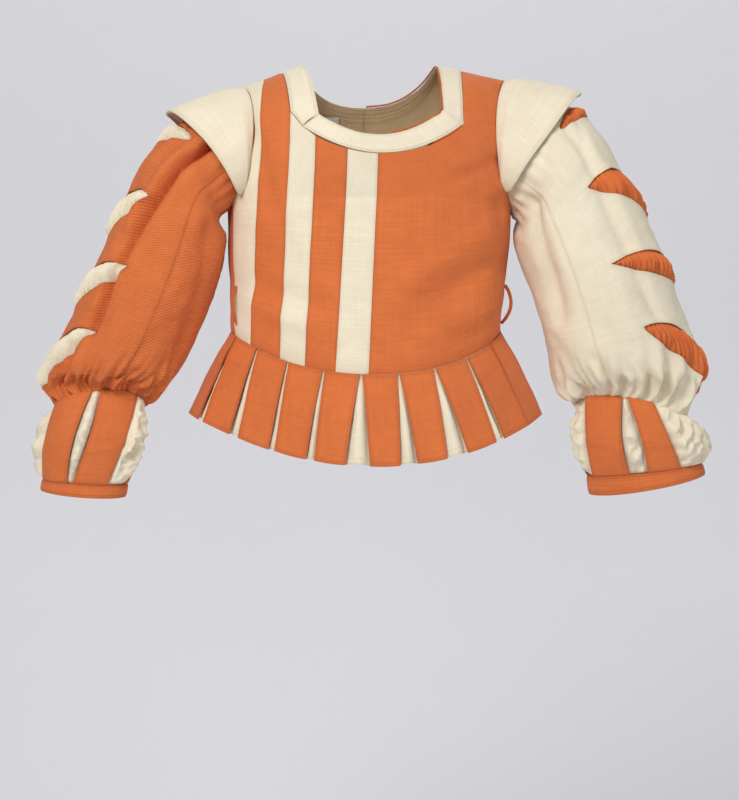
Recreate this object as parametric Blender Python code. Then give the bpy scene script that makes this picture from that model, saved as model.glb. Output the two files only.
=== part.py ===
"""A child's parti-coloured costume doublet, as worn: pieced bodice, square neckband, wings, slashed sleeves with
puffs, strapped cuffs, and a skirt of tabs over an underskirt.

Metres. +X is the wearer's left, -Y the front, +Z up. The origin is between the shoulders, at the base of the neck.
Every piece is a sheet laid on a form by a function of two surface coordinates and a height above the form, so that
neighbours share their edges and keep an even gap.
"""

import math

import bmesh
import bpy
from mathutils import Vector

# Cloth
WALL = 0.0013
GAP = 0.0003
HALF_GAP = GAP / 2

# Bodice form: an oval section that rounds over to the shoulder seam above DOME_Z
CHEST_HALF = 0.140
WAIST_TAPER = {-1: 0.003, 1: 0.010}
DEPTH = 0.088
BOXY = 0.08
DOME_Z = -0.125
SHOULDER_Z = 0.003
ROLL = 0.1057
TOP = ROLL * math.pi / 2
SHOULDER_SLOPE = {-1: 0.36, 1: 0.21}
WAIST_Z = -0.259
WAIST_DIP_FRONT = 0.038
WAIST_DIP_BACK = 0.012

# Seams of the bodice, as half-angles or as places across the front
SIDE_ANGLE = {-1: math.radians(76), 1: math.radians(88)}
ARMHOLE_DEPTH = {-1: math.radians(78), 1: math.radians(80)}
ARMHOLE_ROUND = {-1: 0.63, 1: 0.80}
ARMPIT_ROLL = -0.010
NECK_HALF = 0.067
BAND_HALF = {-1: 0.0875, 1: 0.090}
# (at the waist, at neck level, at the shoulder) across the front, of each lengthwise seam of the pieced right front
CENTRE_SEAM = (-0.008, 0.003, 0.003)
STRIPE_SEAMS = (
    (-0.040, -0.026, -0.026),
    (-0.0695, -0.0573, -0.0573),
    (-0.094, -0.082, -0.0875),
    (-0.1212, -0.111, -0.104),
)
NECK_LEVEL = 0.078

# Square neckline: corner places, and the heights of the front band
CORNER_INNER = {-1: (-0.055, -0.045), 1: (0.067, -0.041)}
CORNER_OUTER = {-1: (-0.071, -0.0565), 1: (0.087, -0.055)}
BAND_LOW = (-0.083, 4.3, 0.006)
BAND_HIGH = (-0.065, 5.9, 0.003)
BACK_NECK_INNER = -0.036
BACK_NECK_OUTER = -0.057
LINING_DEPTH = 0.060
LINING_EASE = 0.0015
PIPING_RADIUS = 0.0009
LABEL_Z = -0.043
LABEL_DEEP = 0.009

# Skirt
TABS = 20
TAB_LENGTH = 0.092
TAB_SHARE = 0.95
FLARE = 0.30
FLARE_SIDE = 0.13
# How far each tab's hem hangs to the wearer's left of straight, from the first tab left of the centre front round
# by the left side to the back and the right
TAB_LEAN = (0.003, 0.009, 0.020, 0.018, 0.006, -0.002, 0.003, -0.001, 0.002, 0.004)
TAB_LEAN += (-0.003, 0.001, -0.002, 0.003, 0.0, 0.002, 0.0, -0.002, -0.008, -0.012)

# Sleeves: (station, outer x, outer z, inner x, inner z, half-depth)
SLEEVE = {
    -1: (
        (0.00, -0.128, -0.018, -0.139, -0.135, 0.043),
        (0.15, -0.178, -0.048, -0.149, -0.149, 0.050),
        (0.30, -0.217, -0.088, -0.147, -0.164, 0.054),
        (0.50, -0.255, -0.163, -0.153, -0.205, 0.056),
        (0.70, -0.290, -0.238, -0.173, -0.255, 0.056),
        (0.88, -0.319, -0.302, -0.203, -0.312, 0.050),
        (1.00, -0.313, -0.329, -0.227, -0.322, 0.032),
    ),
    1: (
        (0.00, 0.136, -0.012, 0.139, -0.135, 0.043),
        (0.15, 0.190, -0.031, 0.149, -0.151, 0.052),
        (0.30, 0.229, -0.066, 0.147, -0.168, 0.057),
        (0.50, 0.275, -0.148, 0.160, -0.212, 0.060),
        (0.70, 0.305, -0.226, 0.175, -0.264, 0.060),
        (0.88, 0.333, -0.304, 0.190, -0.312, 0.054),
        (1.00, 0.320, -0.349, 0.210, -0.326, 0.034),
    ),
}
SLEEVE_FORWARD = 0.012
HEAD_BLEND = 0.18
UNDER_ANGLE = {-1: math.radians(112), 1: math.radians(124)}
CUFF_RISE = 0.015
# Slashes: (front end: station, degrees; lower end: station, degrees)
SLASHES = {
    -1: ((0.17, 60, 0.28, 0), (0.37, 64, 0.53, -4), (0.555, 72, 0.715, -4), (0.735, 60, 0.96, -2)),
    1: ((0.16, 62, 0.26, 0), (0.345, 84, 0.52, 0), (0.545, 92, 0.695, 0), (0.735, 84, 0.96, 2)),
}
SLASH_BELLY = 16
PUFF_TURNS = {-1: (-28, 88), 1: (-26, 106)}
PUFF_EASE = 0.0035
WING_SPAN = math.radians(138)
WING_REACH = 0.15
WING_LIFT = 0.007
WING_FLARE = 0.010

# Cuffs: (outer x, outer z, inner x, inner z, half-depth) at the gathers and at the band
CUFF = {
    -1: ((-0.313, -0.332, -0.227, -0.325, 0.032), (-0.325, -0.404, -0.242, -0.409, 0.033)),
    1: ((0.320, -0.352, 0.210, -0.329, 0.034), (0.334, -0.393, 0.219, -0.405, 0.036)),
}
CUFF_BULGE = 0.005
CUFF_EASE = 0.0012
CUFF_START = 0.06
# Cuff straps, in degrees round the cuff: (middle and half-width at the gathers, middle and half-width at the band)
STRAPS = {
    -1: ((51, 31, 38, 27), (122, 29, 97, 24), (197, 24, 179, 22), (266, 24, 248, 22), (335, 24, 317, 22)),
    1: ((89, 14, 75, 18), (132, 24, 135, 24), (200, 22, 196, 22), (270, 20, 262, 20), (333, 20, 326, 20)),
}
BAND_DEEP = 0.010
BAND_HEIGHTS = (-0.0008, 0.0014)

LOOP_TOP = -0.088
LOOP_FOOT = -0.126
LOOP_RADIUS = 0.0014
# The loops sit a little in front of the side seams.
LOOP_TURN = 0.93

RUST = ("rust cotton", (0.73, 0.20, 0.061), 0.85)
CREAM = ("cream cotton", (0.855, 0.775, 0.61), 0.8)
TAN = ("tan lining", (0.434, 0.328, 0.141), 0.8)
WHITE = ("white tape", (0.85, 0.85, 0.83), 0.7)


def clear_scene():
    for item in list(bpy.data.objects):
        bpy.data.objects.remove(item)


def mix(low, high, part):
    return low + (high - low) * part


def ease(part):
    part = min(max(part, 0.0), 1.0)
    return part * part * (3 - 2 * part)


def through(stations, at):
    """The row of values at a station, on a smooth curve through the given stations."""
    at = min(max(at, stations[0][0]), stations[-1][0])
    k = 0
    while k < len(stations) - 2 and at > stations[k + 1][0]:
        k += 1

    def slope(i, column):
        low, high = stations[max(i - 1, 0)], stations[min(i + 1, len(stations) - 1)]
        return (high[column] - low[column]) / (high[0] - low[0])

    start, end = stations[k], stations[k + 1]
    span = end[0] - start[0]
    f = (at - start[0]) / span
    row = []
    for column in range(1, len(start)):
        rise = (2 * f**3 - 3 * f**2 + 1) * start[column] + (3 * f**2 - 2 * f**3) * end[column]
        lean = (f**3 - 2 * f**2 + f) * slope(k, column) + (f**3 - f**2) * slope(k + 1, column)
        row.append(rise + span * lean)
    return row


# ---------------------------------------------------------------- the bodice form


def half_width(side, roll):
    below = max(-roll, roll - 2 * TOP, 0.0)
    return CHEST_HALF - WAIST_TAPER[side] * ease((below - 0.03) / 0.10)


def side_of(x):
    return 1 if x > 0 else -1


def ridge(x):
    return SHOULDER_Z - SHOULDER_SLOPE[side_of(x)] * max(abs(x) - NECK_HALF, 0.0)


def form(angle, roll):
    """Point of the form. `angle` is 0 at the centre and 90 degrees at the side. `roll` runs up the front, over the
    shoulder at TOP, and down the back; below the dome it is a plain distance."""
    x = half_width(side_of(angle), roll) * math.sin(angle + BOXY * math.sin(2 * angle))
    turn = min(max(roll / ROLL, 0.0), math.pi)
    z = DOME_Z + (ridge(x) - DOME_Z) * math.sin(turn)
    z += min(roll, 0.0) + min(2 * TOP - roll, 0.0)
    return Vector((x, -DEPTH * math.cos(angle) * math.cos(turn), z))


def raised(surface, u, v, height, inside=None):
    """A point `height` out of a surface, along its own normal."""
    step = 1e-4
    point = surface(u, v)
    along_u = surface(u + step, v) - surface(u - step, v)
    along_v = surface(u, v + step) - surface(u, v - step)
    normal = along_u.cross(along_v).normalized()
    if inside is not None and normal.dot(point - inside) < 0:
        normal.negate()
    return point + normal * height


def on_form(angle, roll, height):
    return raised(form, angle, roll, height)


def angle_at(x, roll):
    full = math.asin(min(max(x / half_width(side_of(x), roll), -1.0), 1.0))
    angle = full
    for _ in range(8):
        angle = full - BOXY * math.sin(2 * angle)
    return angle


def roll_at(x, z):
    """Roll of a height on the front, above or below the start of the dome."""
    if z < DOME_Z:
        return z - DOME_Z
    return ROLL * math.asin(min((z - DOME_Z) / (ridge(x) - DOME_Z), 1.0))


def climb(low, high, t):
    """Roll of a row from the waist (t = 0) up: a quarter of the rows on the straight wall, the rest on the dome."""
    if t < 0.25:
        return mix(low, 0.0, t * 4)
    return mix(0.0, high, (t * 4 - 1) / 3)


def waist_roll(angle, dip=WAIST_DIP_FRONT):
    return WAIST_Z - dip * math.cos(angle) ** 2 - DOME_Z


def armhole_angle(side, roll):
    """Half-angle at which the armhole crosses a roll, on the front; the back mirrors it."""
    share = min(max((roll - ARMPIT_ROLL) / (TOP - ARMPIT_ROLL), 0.0), 1.0)
    inset = ARMHOLE_DEPTH[side] * math.sqrt(share) * (1 - ARMHOLE_ROUND[side] * share)
    return math.pi / 2 - inset


# ---------------------------------------------------------------- making a sheet


def material(look):
    name, colour, rough = look
    found = bpy.data.materials.get(name)
    if found:
        return found
    found = bpy.data.materials.new(name)
    found.use_nodes = True
    shader = found.node_tree.nodes["Principled BSDF"]
    shader.inputs["Base Color"].default_value = (*colour, 1.0)
    shader.inputs["Roughness"].default_value = rough
    found.diffuse_color = (*colour, 1.0)
    return found


def add_object(name, mesh, look):
    piece = bpy.data.objects.new(name, mesh)
    bpy.context.scene.collection.objects.link(piece)
    if look:
        piece.data.materials.append(material(look))
    return piece


def finish_mesh(bm, name, look):
    """Turns the closed mesh to face outwards, and makes it an object."""
    bmesh.ops.triangulate(bm, faces=bm.faces[:])
    if bm.calc_volume(signed=True) < 0:
        bmesh.ops.reverse_faces(bm, faces=bm.faces[:])
    mesh = bpy.data.meshes.new(name)
    bm.to_mesh(mesh)
    bm.free()
    mesh.shade_smooth()
    mesh.set_sharp_from_angle(angle=math.radians(50))
    return add_object(name, mesh, look)


def wall_grid(cells, keep=None):
    """A grid drawn out into a wall, and the vertices of its outer face."""
    bm = bmesh.new()
    bmesh.ops.create_grid(bm, x_segments=cells[0], y_segments=cells[1], size=0.5)
    if keep:
        middles = [(face, face.calc_center_median()) for face in bm.faces]
        gone = [face for face, middle in middles if not keep(middle.x + 0.5, middle.y + 0.5)]
        bmesh.ops.delete(bm, geom=gone, context="FACES")
    grown = bmesh.ops.extrude_face_region(bm, geom=bm.faces[:])["geom"]
    return bm, {item for item in grown if isinstance(item, bmesh.types.BMVert)}


def lay(bm, outer, place, heights):
    for vert in bm.verts:
        height = heights[1] if vert in outer else heights[0]
        vert.co = place(vert.co.x + 0.5, vert.co.y + 0.5, height)


def sheet(name, place, cells, look, heights=(0.0, WALL), keep=None):
    """A cloth wall whose points place(s, t, height) sets, with its two faces at the given heights."""
    bm, outer = wall_grid(cells, keep)
    lay(bm, outer, place, heights)
    return finish_mesh(bm, name, look)


def ring(name, place, cells, look, heights=(0.0, WALL)):
    """A closed tube of cloth: s runs once round it, and the two end walls that would meet are left out."""
    bm, outer = wall_grid(cells)
    ends = []
    for face in bm.faces:
        across = [vert.co.x for vert in face.verts]
        if max(across) - min(across) < 1e-6:
            ends.append(face)
    bmesh.ops.delete(bm, geom=ends, context="FACES_ONLY")
    lay(bm, outer, place, heights)
    bmesh.ops.remove_doubles(bm, verts=bm.verts[:], dist=1e-6)
    return finish_mesh(bm, name, look)


def cord(name, points, radius, look):
    curve = bpy.data.curves.new(name, "CURVE")
    curve.dimensions = "3D"
    curve.bevel_depth = radius
    curve.bevel_resolution = 1
    curve.use_fill_caps = True
    spline = curve.splines.new("POLY")
    spline.points.add(len(points) - 1)
    for knot, point in zip(spline.points, points):
        knot.co = (*point, 1.0)
    return add_object(name, curve, look)


# ---------------------------------------------------------------- the bodice


def seam_x(seam, roll):
    """A lengthwise seam's place across the front: straight to neck level, then straight to the shoulder."""
    if roll < NECK_LEVEL:
        return mix(seam[0], seam[1], (roll + 0.16) / (NECK_LEVEL + 0.16))
    return mix(seam[1], seam[2], (roll - NECK_LEVEL) / (TOP - NECK_LEVEL))


def band_edge(curve, x):
    low, bend, middle = curve
    return low + bend * (x - middle) ** 2


def strip(left, right, top, cut=HALF_GAP):
    """place() of a bodice panel between two seams, from the waist to `top`. left and right give half-angles."""

    def place(s, t, height):
        foot = mix(left(-0.15), right(-0.15), s)
        low = waist_roll(foot) + cut
        high = top(s) - cut
        roll = climb(low, high, t)
        start = left(roll)
        end = right(roll)
        trim = cut / CHEST_HALF
        return on_form(mix(start + trim, end - trim, s), roll, height)

    return place


def seam_line(seam):
    return lambda roll: angle_at(seam_x(seam, roll), roll)


def side_line(side):
    return lambda roll: side * min(SIDE_ANGLE[side], armhole_angle(side, roll))


def build_right_front():
    edges = [seam_line(CENTRE_SEAM)]
    for seam in STRIPE_SEAMS:
        edges.append(seam_line(seam))
    edges.append(side_line(-1))
    names = (
        ("stripe_cream_inner", CREAM, 3),
        ("stripe_rust_inner", RUST, 3),
        ("stripe_cream_outer", CREAM, 4),
        ("stripe_rust_outer", RUST, 3),
        ("side_front_right", CREAM, 3),
    )

    def under_band(outer, inner):
        def top(s):
            x = mix(outer, inner, s)
            return roll_at(x, band_edge(BAND_LOW, x))

        return top

    def beside_corner(s):
        corner = CORNER_OUTER[-1]
        if s < 0.5:
            x = mix(STRIPE_SEAMS[2][1], corner[0], s * 2)
            return mix(NECK_LEVEL, roll_at(*corner), s * 2)
        x = mix(corner[0], STRIPE_SEAMS[1][1], s * 2 - 1)
        return roll_at(x, mix(corner[1], band_edge(BAND_LOW, STRIPE_SEAMS[1][1]), s * 2 - 1))

    tops = (
        under_band(STRIPE_SEAMS[0][1], CENTRE_SEAM[1]),
        under_band(STRIPE_SEAMS[1][1], STRIPE_SEAMS[0][1]),
        beside_corner,
        lambda s: TOP,
        lambda s: TOP,
    )
    for k, (name, look, columns) in enumerate(names):
        sheet(name, strip(edges[k + 1], edges[k], tops[k]), (columns, 12), look)


LEG_COLUMN = 5 / 8
YOKE_ROW = 8 / 12


def leg_x(side, roll):
    """Outer edge of the neckband's leg, from the band's corner up to the shoulder seam."""
    corner = CORNER_OUTER[side]
    start = roll_at(*corner)
    if side > 0:
        return mix(corner[0], BAND_HALF[1], ease((roll - start) / (TOP - start)))
    if roll < NECK_LEVEL:
        return mix(corner[0], STRIPE_SEAMS[2][1], (roll - start) / (NECK_LEVEL - start))
    return seam_x(STRIPE_SEAMS[2], roll)


def place_left_front(s, t, height):
    trim = HALF_GAP / CHEST_HALF
    centre = seam_line(CENTRE_SEAM)
    side = side_line(1)
    corner_roll = roll_at(*CORNER_OUTER[1])

    def leg(roll):
        return angle_at(leg_x(1, roll), roll)

    def across(roll):
        if s <= LEG_COLUMN:
            return mix(centre(roll) + trim, leg(roll) + trim * (t > YOKE_ROW - 1e-6), s / LEG_COLUMN)
        return mix(leg(roll) + trim, side(roll) - trim, (s - LEG_COLUMN) / (1 - LEG_COLUMN))

    low = waist_roll(across(-0.15)) + HALF_GAP
    yoke = corner_roll
    if s <= LEG_COLUMN:
        x = mix(CENTRE_SEAM[1], CORNER_OUTER[1][0], s / LEG_COLUMN)
        yoke = roll_at(x, band_edge(BAND_LOW, x)) - HALF_GAP
    if t <= YOKE_ROW:
        roll = climb(low, yoke, t / YOKE_ROW)
    else:
        roll = mix(yoke, TOP - HALF_GAP, (t - YOKE_ROW) / (1 - YOKE_ROW))
    return on_form(across(roll), roll, height)


def build_left_front():
    sheet(
        "front_left",
        place_left_front,
        (8, 12),
        RUST,
        keep=lambda s, t: s > LEG_COLUMN or t < YOKE_ROW,
    )


def back_neck(half, low, turn):
    """(x, roll) on a back neck edge; turn is 0 at the centre back and 90 degrees at the shoulder seam."""
    deep = TOP - roll_at(0.0, low)
    return half * abs(math.sin(turn)) ** 0.8, TOP + deep * abs(math.cos(turn)) ** 0.8


def place_back(side):
    """A back half, from the centre back (s = 0) to the armhole and side seam (s = 1), waist (t = 0) to shoulder."""
    trim = HALF_GAP / CHEST_HALF
    neck_share = 6 / 9

    def place(s, t, height):
        if s <= neck_share:
            x, neck = back_neck(BAND_HALF[side], BACK_NECK_OUTER, math.pi / 2 * s / neck_share)
            top_angle = angle_at(x + HALF_GAP, TOP)
            top = neck + HALF_GAP
        else:
            start = angle_at(BAND_HALF[side] + HALF_GAP, TOP)
            top_angle = mix(start, armhole_angle(side, TOP) - trim, (s - neck_share) / (1 - neck_share))
            top = TOP + HALF_GAP
        low_angle = mix(trim, math.pi - SIDE_ANGLE[side] - trim, s)
        low = 2 * TOP - waist_roll(low_angle, WAIST_DIP_BACK) - HALF_GAP
        roll = 2 * TOP - climb(2 * TOP - low, 2 * TOP - top, t)
        # The armhole pulls the outer columns in above the armpit.
        edge = math.pi - SIDE_ANGLE[side]
        if 2 * TOP - roll > ARMPIT_ROLL:
            edge = min(edge, armhole_angle(side, 2 * TOP - roll))
        straight = mix(trim, edge - trim, s)
        angle = mix(straight, top_angle, ease((t - 0.55) / 0.45))
        angle = min(angle, edge - trim)
        return on_form(side * angle, roll, height)

    return place


def build_back():
    sheet("back_left", place_back(1), (9, 10), RUST)
    sheet("back_right", place_back(-1), (9, 10), RUST)


# ---------------------------------------------------------------- neckband, lining, label


def place_band_front(s, t, height):
    low_x = mix(CORNER_OUTER[-1][0], CORNER_OUTER[1][0], s)
    high_x = mix(CORNER_INNER[-1][0], CORNER_INNER[1][0], s)
    share = mix(0.03, 1.0, t)
    x = mix(low_x, high_x, share) + HALF_GAP * (1 - 2 * s)
    z = mix(band_edge(BAND_LOW, low_x), band_edge(BAND_HIGH, high_x), share)
    roll = roll_at(x, z)
    return on_form(angle_at(x, roll), roll, height)


BAND_TURN = 3 / 9


def band_leg(side, s, t):
    """(angle, roll) on a leg of the neckband: s from inner to outer edge, t from the mitre to the centre back."""
    if t <= BAND_TURN:
        share = t / BAND_TURN
        inner = roll_at(*CORNER_INNER[side])
        outer = roll_at(*CORNER_OUTER[side])
        roll = mix(mix(inner, outer, s) + 2 * HALF_GAP, TOP, share)
        edge = mix(CORNER_INNER[side][0], side * NECK_HALF, share)
        x = mix(edge, leg_x(side, roll) - side * HALF_GAP, s)
    else:
        turn = math.pi / 2 * (1 - (t - BAND_TURN) / (1 - BAND_TURN))
        inner_x, inner_roll = back_neck(NECK_HALF, BACK_NECK_INNER, turn)
        outer_x, outer_roll = back_neck(BAND_HALF[side] - HALF_GAP, BACK_NECK_OUTER, turn)
        x = side * mix(inner_x, outer_x, s)
        roll = mix(inner_roll, outer_roll, s)
    return x, roll


def place_band_leg(side):
    def place(s, t, height):
        x, roll = band_leg(side, mix(0.0, 0.985, s), mix(0.0, 0.997, t))
        return on_form(angle_at(x, roll), roll, height)

    return place


def place_lining(side):
    """The tan lining that shows inside the back of the neck, from the neck edge down the inner face."""

    def place(s, t, height):
        turn = math.pi / 2 * mix(0.99, 0.01, s)
        x, neck = back_neck(NECK_HALF, BACK_NECK_INNER, turn)
        roll = neck + mix(0.0, LINING_DEPTH, t)
        wide = mix(1.0, 1.25, t)
        return on_form(side * angle_at(x * wide, roll), roll, height)

    return place


def place_label(s, t, height):
    x = mix(-0.052, -0.026, s)
    roll = 2 * TOP - roll_at(x, LABEL_Z) + mix(0.0, LABEL_DEEP, t)
    return on_form(angle_at(x, roll), roll, height)


def piping_points():
    """Along the neck edge from just left of the centre front, over the left shoulder, to the centre back."""
    points = []
    reach = 0.0014
    for k in range(5):
        x = mix(0.016, CORNER_INNER[1][0] - reach, k / 4)
        roll = roll_at(x, band_edge(BAND_HIGH, x)) + reach
        points.append(on_form(angle_at(x, roll), roll, WALL / 2))
    for k in range(1, 10):
        x, roll = band_leg(1, 0.0, k / 9 * 0.99)
        if k / 9 > BAND_TURN:
            roll -= reach
        points.append(on_form(angle_at(x - reach, roll), roll, WALL / 2))
    return points


def build_neck():
    under = (-WALL - LINING_EASE, -LINING_EASE)
    label = (-2 * WALL - 2 * LINING_EASE, -WALL - 2 * LINING_EASE)
    sheet("neckband_front", place_band_front, (12, 2), CREAM)
    sheet("neckband_left", place_band_leg(1), (2, 9), CREAM)
    sheet("neckband_right", place_band_leg(-1), (2, 9), CREAM)
    cord("neck_edge_piping", piping_points(), PIPING_RADIUS, RUST)
    sheet("back_lining_left", place_lining(1), (8, 3), TAN, under)
    sheet("back_lining_right", place_lining(-1), (8, 3), TAN, under)
    sheet("neck_label", place_label, (3, 1), WHITE, label)


# ---------------------------------------------------------------- sleeves


def armhole(side, turn):
    """The armhole's edge at a turn: 0 over the shoulder, 90 degrees in front, 180 at the armpit."""
    share = (1 + math.cos(turn)) / 2
    roll = mix(ARMPIT_ROLL, TOP, share)
    angle = side * armhole_angle(side, roll)
    front = math.sin(turn) >= 0
    return form(angle, roll if front else 2 * TOP - roll)


def sleeve_core(side, turn, station):
    outer_x, outer_z, inner_x, inner_z, deep = through(SLEEVE[side], station)
    forward = SLEEVE_FORWARD * ease(station / 0.3)
    outer = Vector((outer_x, 0.0, outer_z))
    inner = Vector((inner_x, -2 * forward, inner_z))
    middle = (outer + inner) / 2
    across = (outer - inner) / 2
    ahead = Vector((0.0, -1.0, 0.0))
    ahead -= across * (ahead.dot(across) / across.length_squared)
    point = middle + across * math.cos(turn) + ahead.normalized() * deep * math.sin(turn)
    # Towards the wrist the gathers sit higher in front than behind.
    point.z += CUFF_RISE * ease((station - 0.75) / 0.25) * math.sin(turn)
    return middle, point


def sleeve(side, turn, station, height):
    def surface(u, v):
        point = sleeve_core(side, u, v)[1]
        pull = 1 - ease(v / HEAD_BLEND)
        if pull > 0:
            point += (armhole(side, u) - sleeve_core(side, u, 0.0)[1]) * pull
        return point

    inside = sleeve_core(side, turn, max(station, 0.06))[0]
    return raised(surface, turn, max(station, 0.002), height, inside)


SLEEVE_START = 0.03


def place_sleeve(side, first, last):
    def place(s, t, height):
        station = mix(SLEEVE_START, 1.0, t)
        trim = GAP / 0.045
        return sleeve(side, mix(first + trim, last - trim, s), station, height)

    return place


def bowed(start, bow, end, s):
    return (1 - s) ** 2 * start + 2 * s * (1 - s) * bow + s**2 * end


def slash_edges(slash, s):
    """(station, turn) on the lower edge and on the upper edge of a slash, both bowed from end to end."""
    front_at, front_turn, low_at, low_turn = slash
    middle_turn = (front_turn + low_turn) / 2
    middle_at = (front_at + low_at) / 2
    lower_turn = bowed(front_turn, middle_turn + SLASH_BELLY, low_turn, s)
    upper_turn = bowed(front_turn, middle_turn - SLASH_BELLY, low_turn, s)
    lower_at = bowed(front_at, middle_at, low_at, s)
    upper_at = bowed(front_at, front_at - 0.08 * (low_at - front_at), low_at, s)
    return (lower_at, math.radians(lower_turn)), (upper_at, math.radians(upper_turn))


CUTTER_HEIGHTS = (-0.004, 0.006)


def place_slash(side, slash):
    def place(s, t, height):
        lower, upper = slash_edges(slash, s)
        return sleeve(side, mix(lower[1], upper[1], t), mix(lower[0], upper[0], t), height)

    return place


def slash_cutter(name, side, slash):
    """A leaf-shaped plug through the cloth. Its grid closes to a point at both ends of the slash."""
    bm, outer = wall_grid((5, 2))
    lay(bm, outer, place_slash(side, slash), CUTTER_HEIGHTS)
    bmesh.ops.remove_doubles(bm, verts=bm.verts[:], dist=1e-5)
    cutter = finish_mesh(bm, name, None)
    cutter.hide_render = True
    cutter.display_type = "WIRE"
    return cutter


def place_puffs(side):
    """One gathered strip behind the four slashes, along the outer front of the sleeve."""

    def place(s, t, height):
        turn = math.radians(mix(*PUFF_TURNS[side], s))
        return sleeve(side, turn, mix(0.10, 0.97, t), height)

    return place


def place_wing(side):
    """A crescent over the sleeve head, tapering to a point in front and behind. Its tip stands off the sleeve."""

    def place(s, t, height):
        turn = mix(-WING_SPAN, WING_SPAN, s)
        share = abs(turn) / WING_SPAN
        reach = 0.012 + WING_REACH * (1 - share) ** 0.55
        station = SLEEVE_START + reach * t
        lift = WING_LIFT * mix(0.55, 1.0, t) + WING_FLARE * (1 - ease(share * 2)) * t**2
        return sleeve(side, turn, station, height + lift)

    return place


def build_sleeve(side):
    name = "left" if side > 0 else "right"
    cloth, puff = (CREAM, RUST) if side > 0 else (RUST, CREAM)
    upper = sheet(
        f"sleeve_upper_{name}",
        place_sleeve(side, -UNDER_ANGLE[side], UNDER_ANGLE[side]),
        (10, 10),
        cloth,
    )
    for k, slash in enumerate(SLASHES[side]):
        cut = upper.modifiers.new(f"slash {k + 1}", "BOOLEAN")
        cut.operation = "DIFFERENCE"
        cut.object = slash_cutter(f"slash_cutter_{name}_{k + 1}", side, slash)
    sheet(
        f"sleeve_under_{name}",
        place_sleeve(side, UNDER_ANGLE[side], 2 * math.pi - UNDER_ANGLE[side]),
        (4, 10),
        cloth,
    )
    under = (-WALL - PUFF_EASE, -PUFF_EASE)
    sheet(f"slash_puffs_{name}", place_puffs(side), (5, 10), puff, under)
    sheet(f"wing_{name}", place_wing(side), (14, 3), CREAM)


# ---------------------------------------------------------------- cuffs


def cuff_core(side, turn, down):
    top, bottom = CUFF[side]
    outer_x, outer_z, inner_x, inner_z, deep = (mix(a, b, down) for a, b in zip(top, bottom))
    outer = Vector((outer_x, -SLEEVE_FORWARD, outer_z))
    inner = Vector((inner_x, -SLEEVE_FORWARD, inner_z))
    middle = (outer + inner) / 2
    across = (outer - inner) / 2
    swell = CUFF_BULGE * math.sin(math.pi * min(max(down, 0.0), 1.0))
    spread = 1 + swell / across.length
    point = middle + across * math.cos(turn) * spread
    point += Vector((0.0, -1.0, 0.0)) * (deep + swell) * math.sin(turn)
    point.z += CUFF_RISE * (1 - down) * math.sin(turn)
    return middle, point


def cuff(side, turn, down, height):
    inside = cuff_core(side, turn, down)[0]
    return raised(lambda u, v: cuff_core(side, u, v)[1], turn, down, height, inside)


def build_cuff(side):
    name = "left" if side > 0 else "right"
    top, bottom = CUFF[side]
    long = math.dist(top[:2], bottom[:2])
    end = 1 - GAP / long

    def place_puff(s, t, height):
        return cuff(side, 2 * math.pi * s, mix(CUFF_START, end, t), height)

    def place_band(s, t, height):
        return cuff(side, 2 * math.pi * s, 1 + mix(0.0, BAND_DEEP, t) / long, height)

    ring(f"cuff_puff_{name}", place_puff, (20, 3), CREAM, (-WALL - CUFF_EASE, -CUFF_EASE))
    ring(f"cuff_band_{name}", place_band, (20, 1), RUST, BAND_HEIGHTS)
    for k, (top_turn, top_half, foot_turn, foot_half) in enumerate(STRAPS[side]):

        def place_strap(s, t, height, ways=(top_turn, top_half, foot_turn, foot_half)):
            turn = mix(ways[0], ways[2], t) + mix(ways[1], ways[3], t) * (2 * s - 1)
            return cuff(side, math.radians(turn), mix(CUFF_START, end, t), height)

        sheet(f"cuff_strap_{name}_{k + 1}", place_strap, (3, 3), RUST)


# ---------------------------------------------------------------- skirt and belt loops


def waist(around):
    """Point of the waist seam: `around` is 0 at the centre front and 180 degrees at the centre back."""
    if math.cos(around) >= 0:
        return form(around, waist_roll(around))
    angle = math.copysign(math.pi - abs(around), around)
    return form(angle, 2 * TOP - waist_roll(angle, WAIST_DIP_BACK))


def skirt(around, down, height):
    """Point of the skirt, `down` from the waist seam."""
    around = (around + math.pi) % (2 * math.pi) - math.pi
    out = Vector((math.sin(around) / CHEST_HALF, -math.cos(around) / DEPTH, 0.0)).normalized()
    lean = math.asin(FLARE + FLARE_SIDE * math.sin(around) ** 2)
    fall = out * math.sin(lean) - Vector((0.0, 0.0, math.cos(lean)))
    normal = out * math.cos(lean) + Vector((0.0, 0.0, math.sin(lean)))
    return waist(around) + fall * down + normal * height


def arc_table():
    """Turn round the waist for each even step of its length, as the section is an oval."""
    steps = 720
    lengths = [0.0]
    for k in range(steps):
        a = skirt(2 * math.pi * k / steps, 0.0, 0.0)
        b = skirt(2 * math.pi * (k + 1) / steps, 0.0, 0.0)
        lengths.append(lengths[-1] + (b - a).length)
    return lengths


WAIST_LENGTHS = arc_table()
WAIST_ROUND = WAIST_LENGTHS[-1]


def turn_at(length):
    length %= WAIST_ROUND
    low = 0
    high = len(WAIST_LENGTHS) - 1
    while high - low > 1:
        middle = (low + high) // 2
        if WAIST_LENGTHS[middle] > length:
            high = middle
        else:
            low = middle
    share = (length - WAIST_LENGTHS[low]) / (WAIST_LENGTHS[high] - WAIST_LENGTHS[low])
    return 2 * math.pi * (low + share) / (len(WAIST_LENGTHS) - 1)


PITCH = WAIST_ROUND / TABS
SKIRT_START = 0.0016
UNDERSKIRT_FOLD = 0.0028
TAB_SHIFT = -0.016


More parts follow.
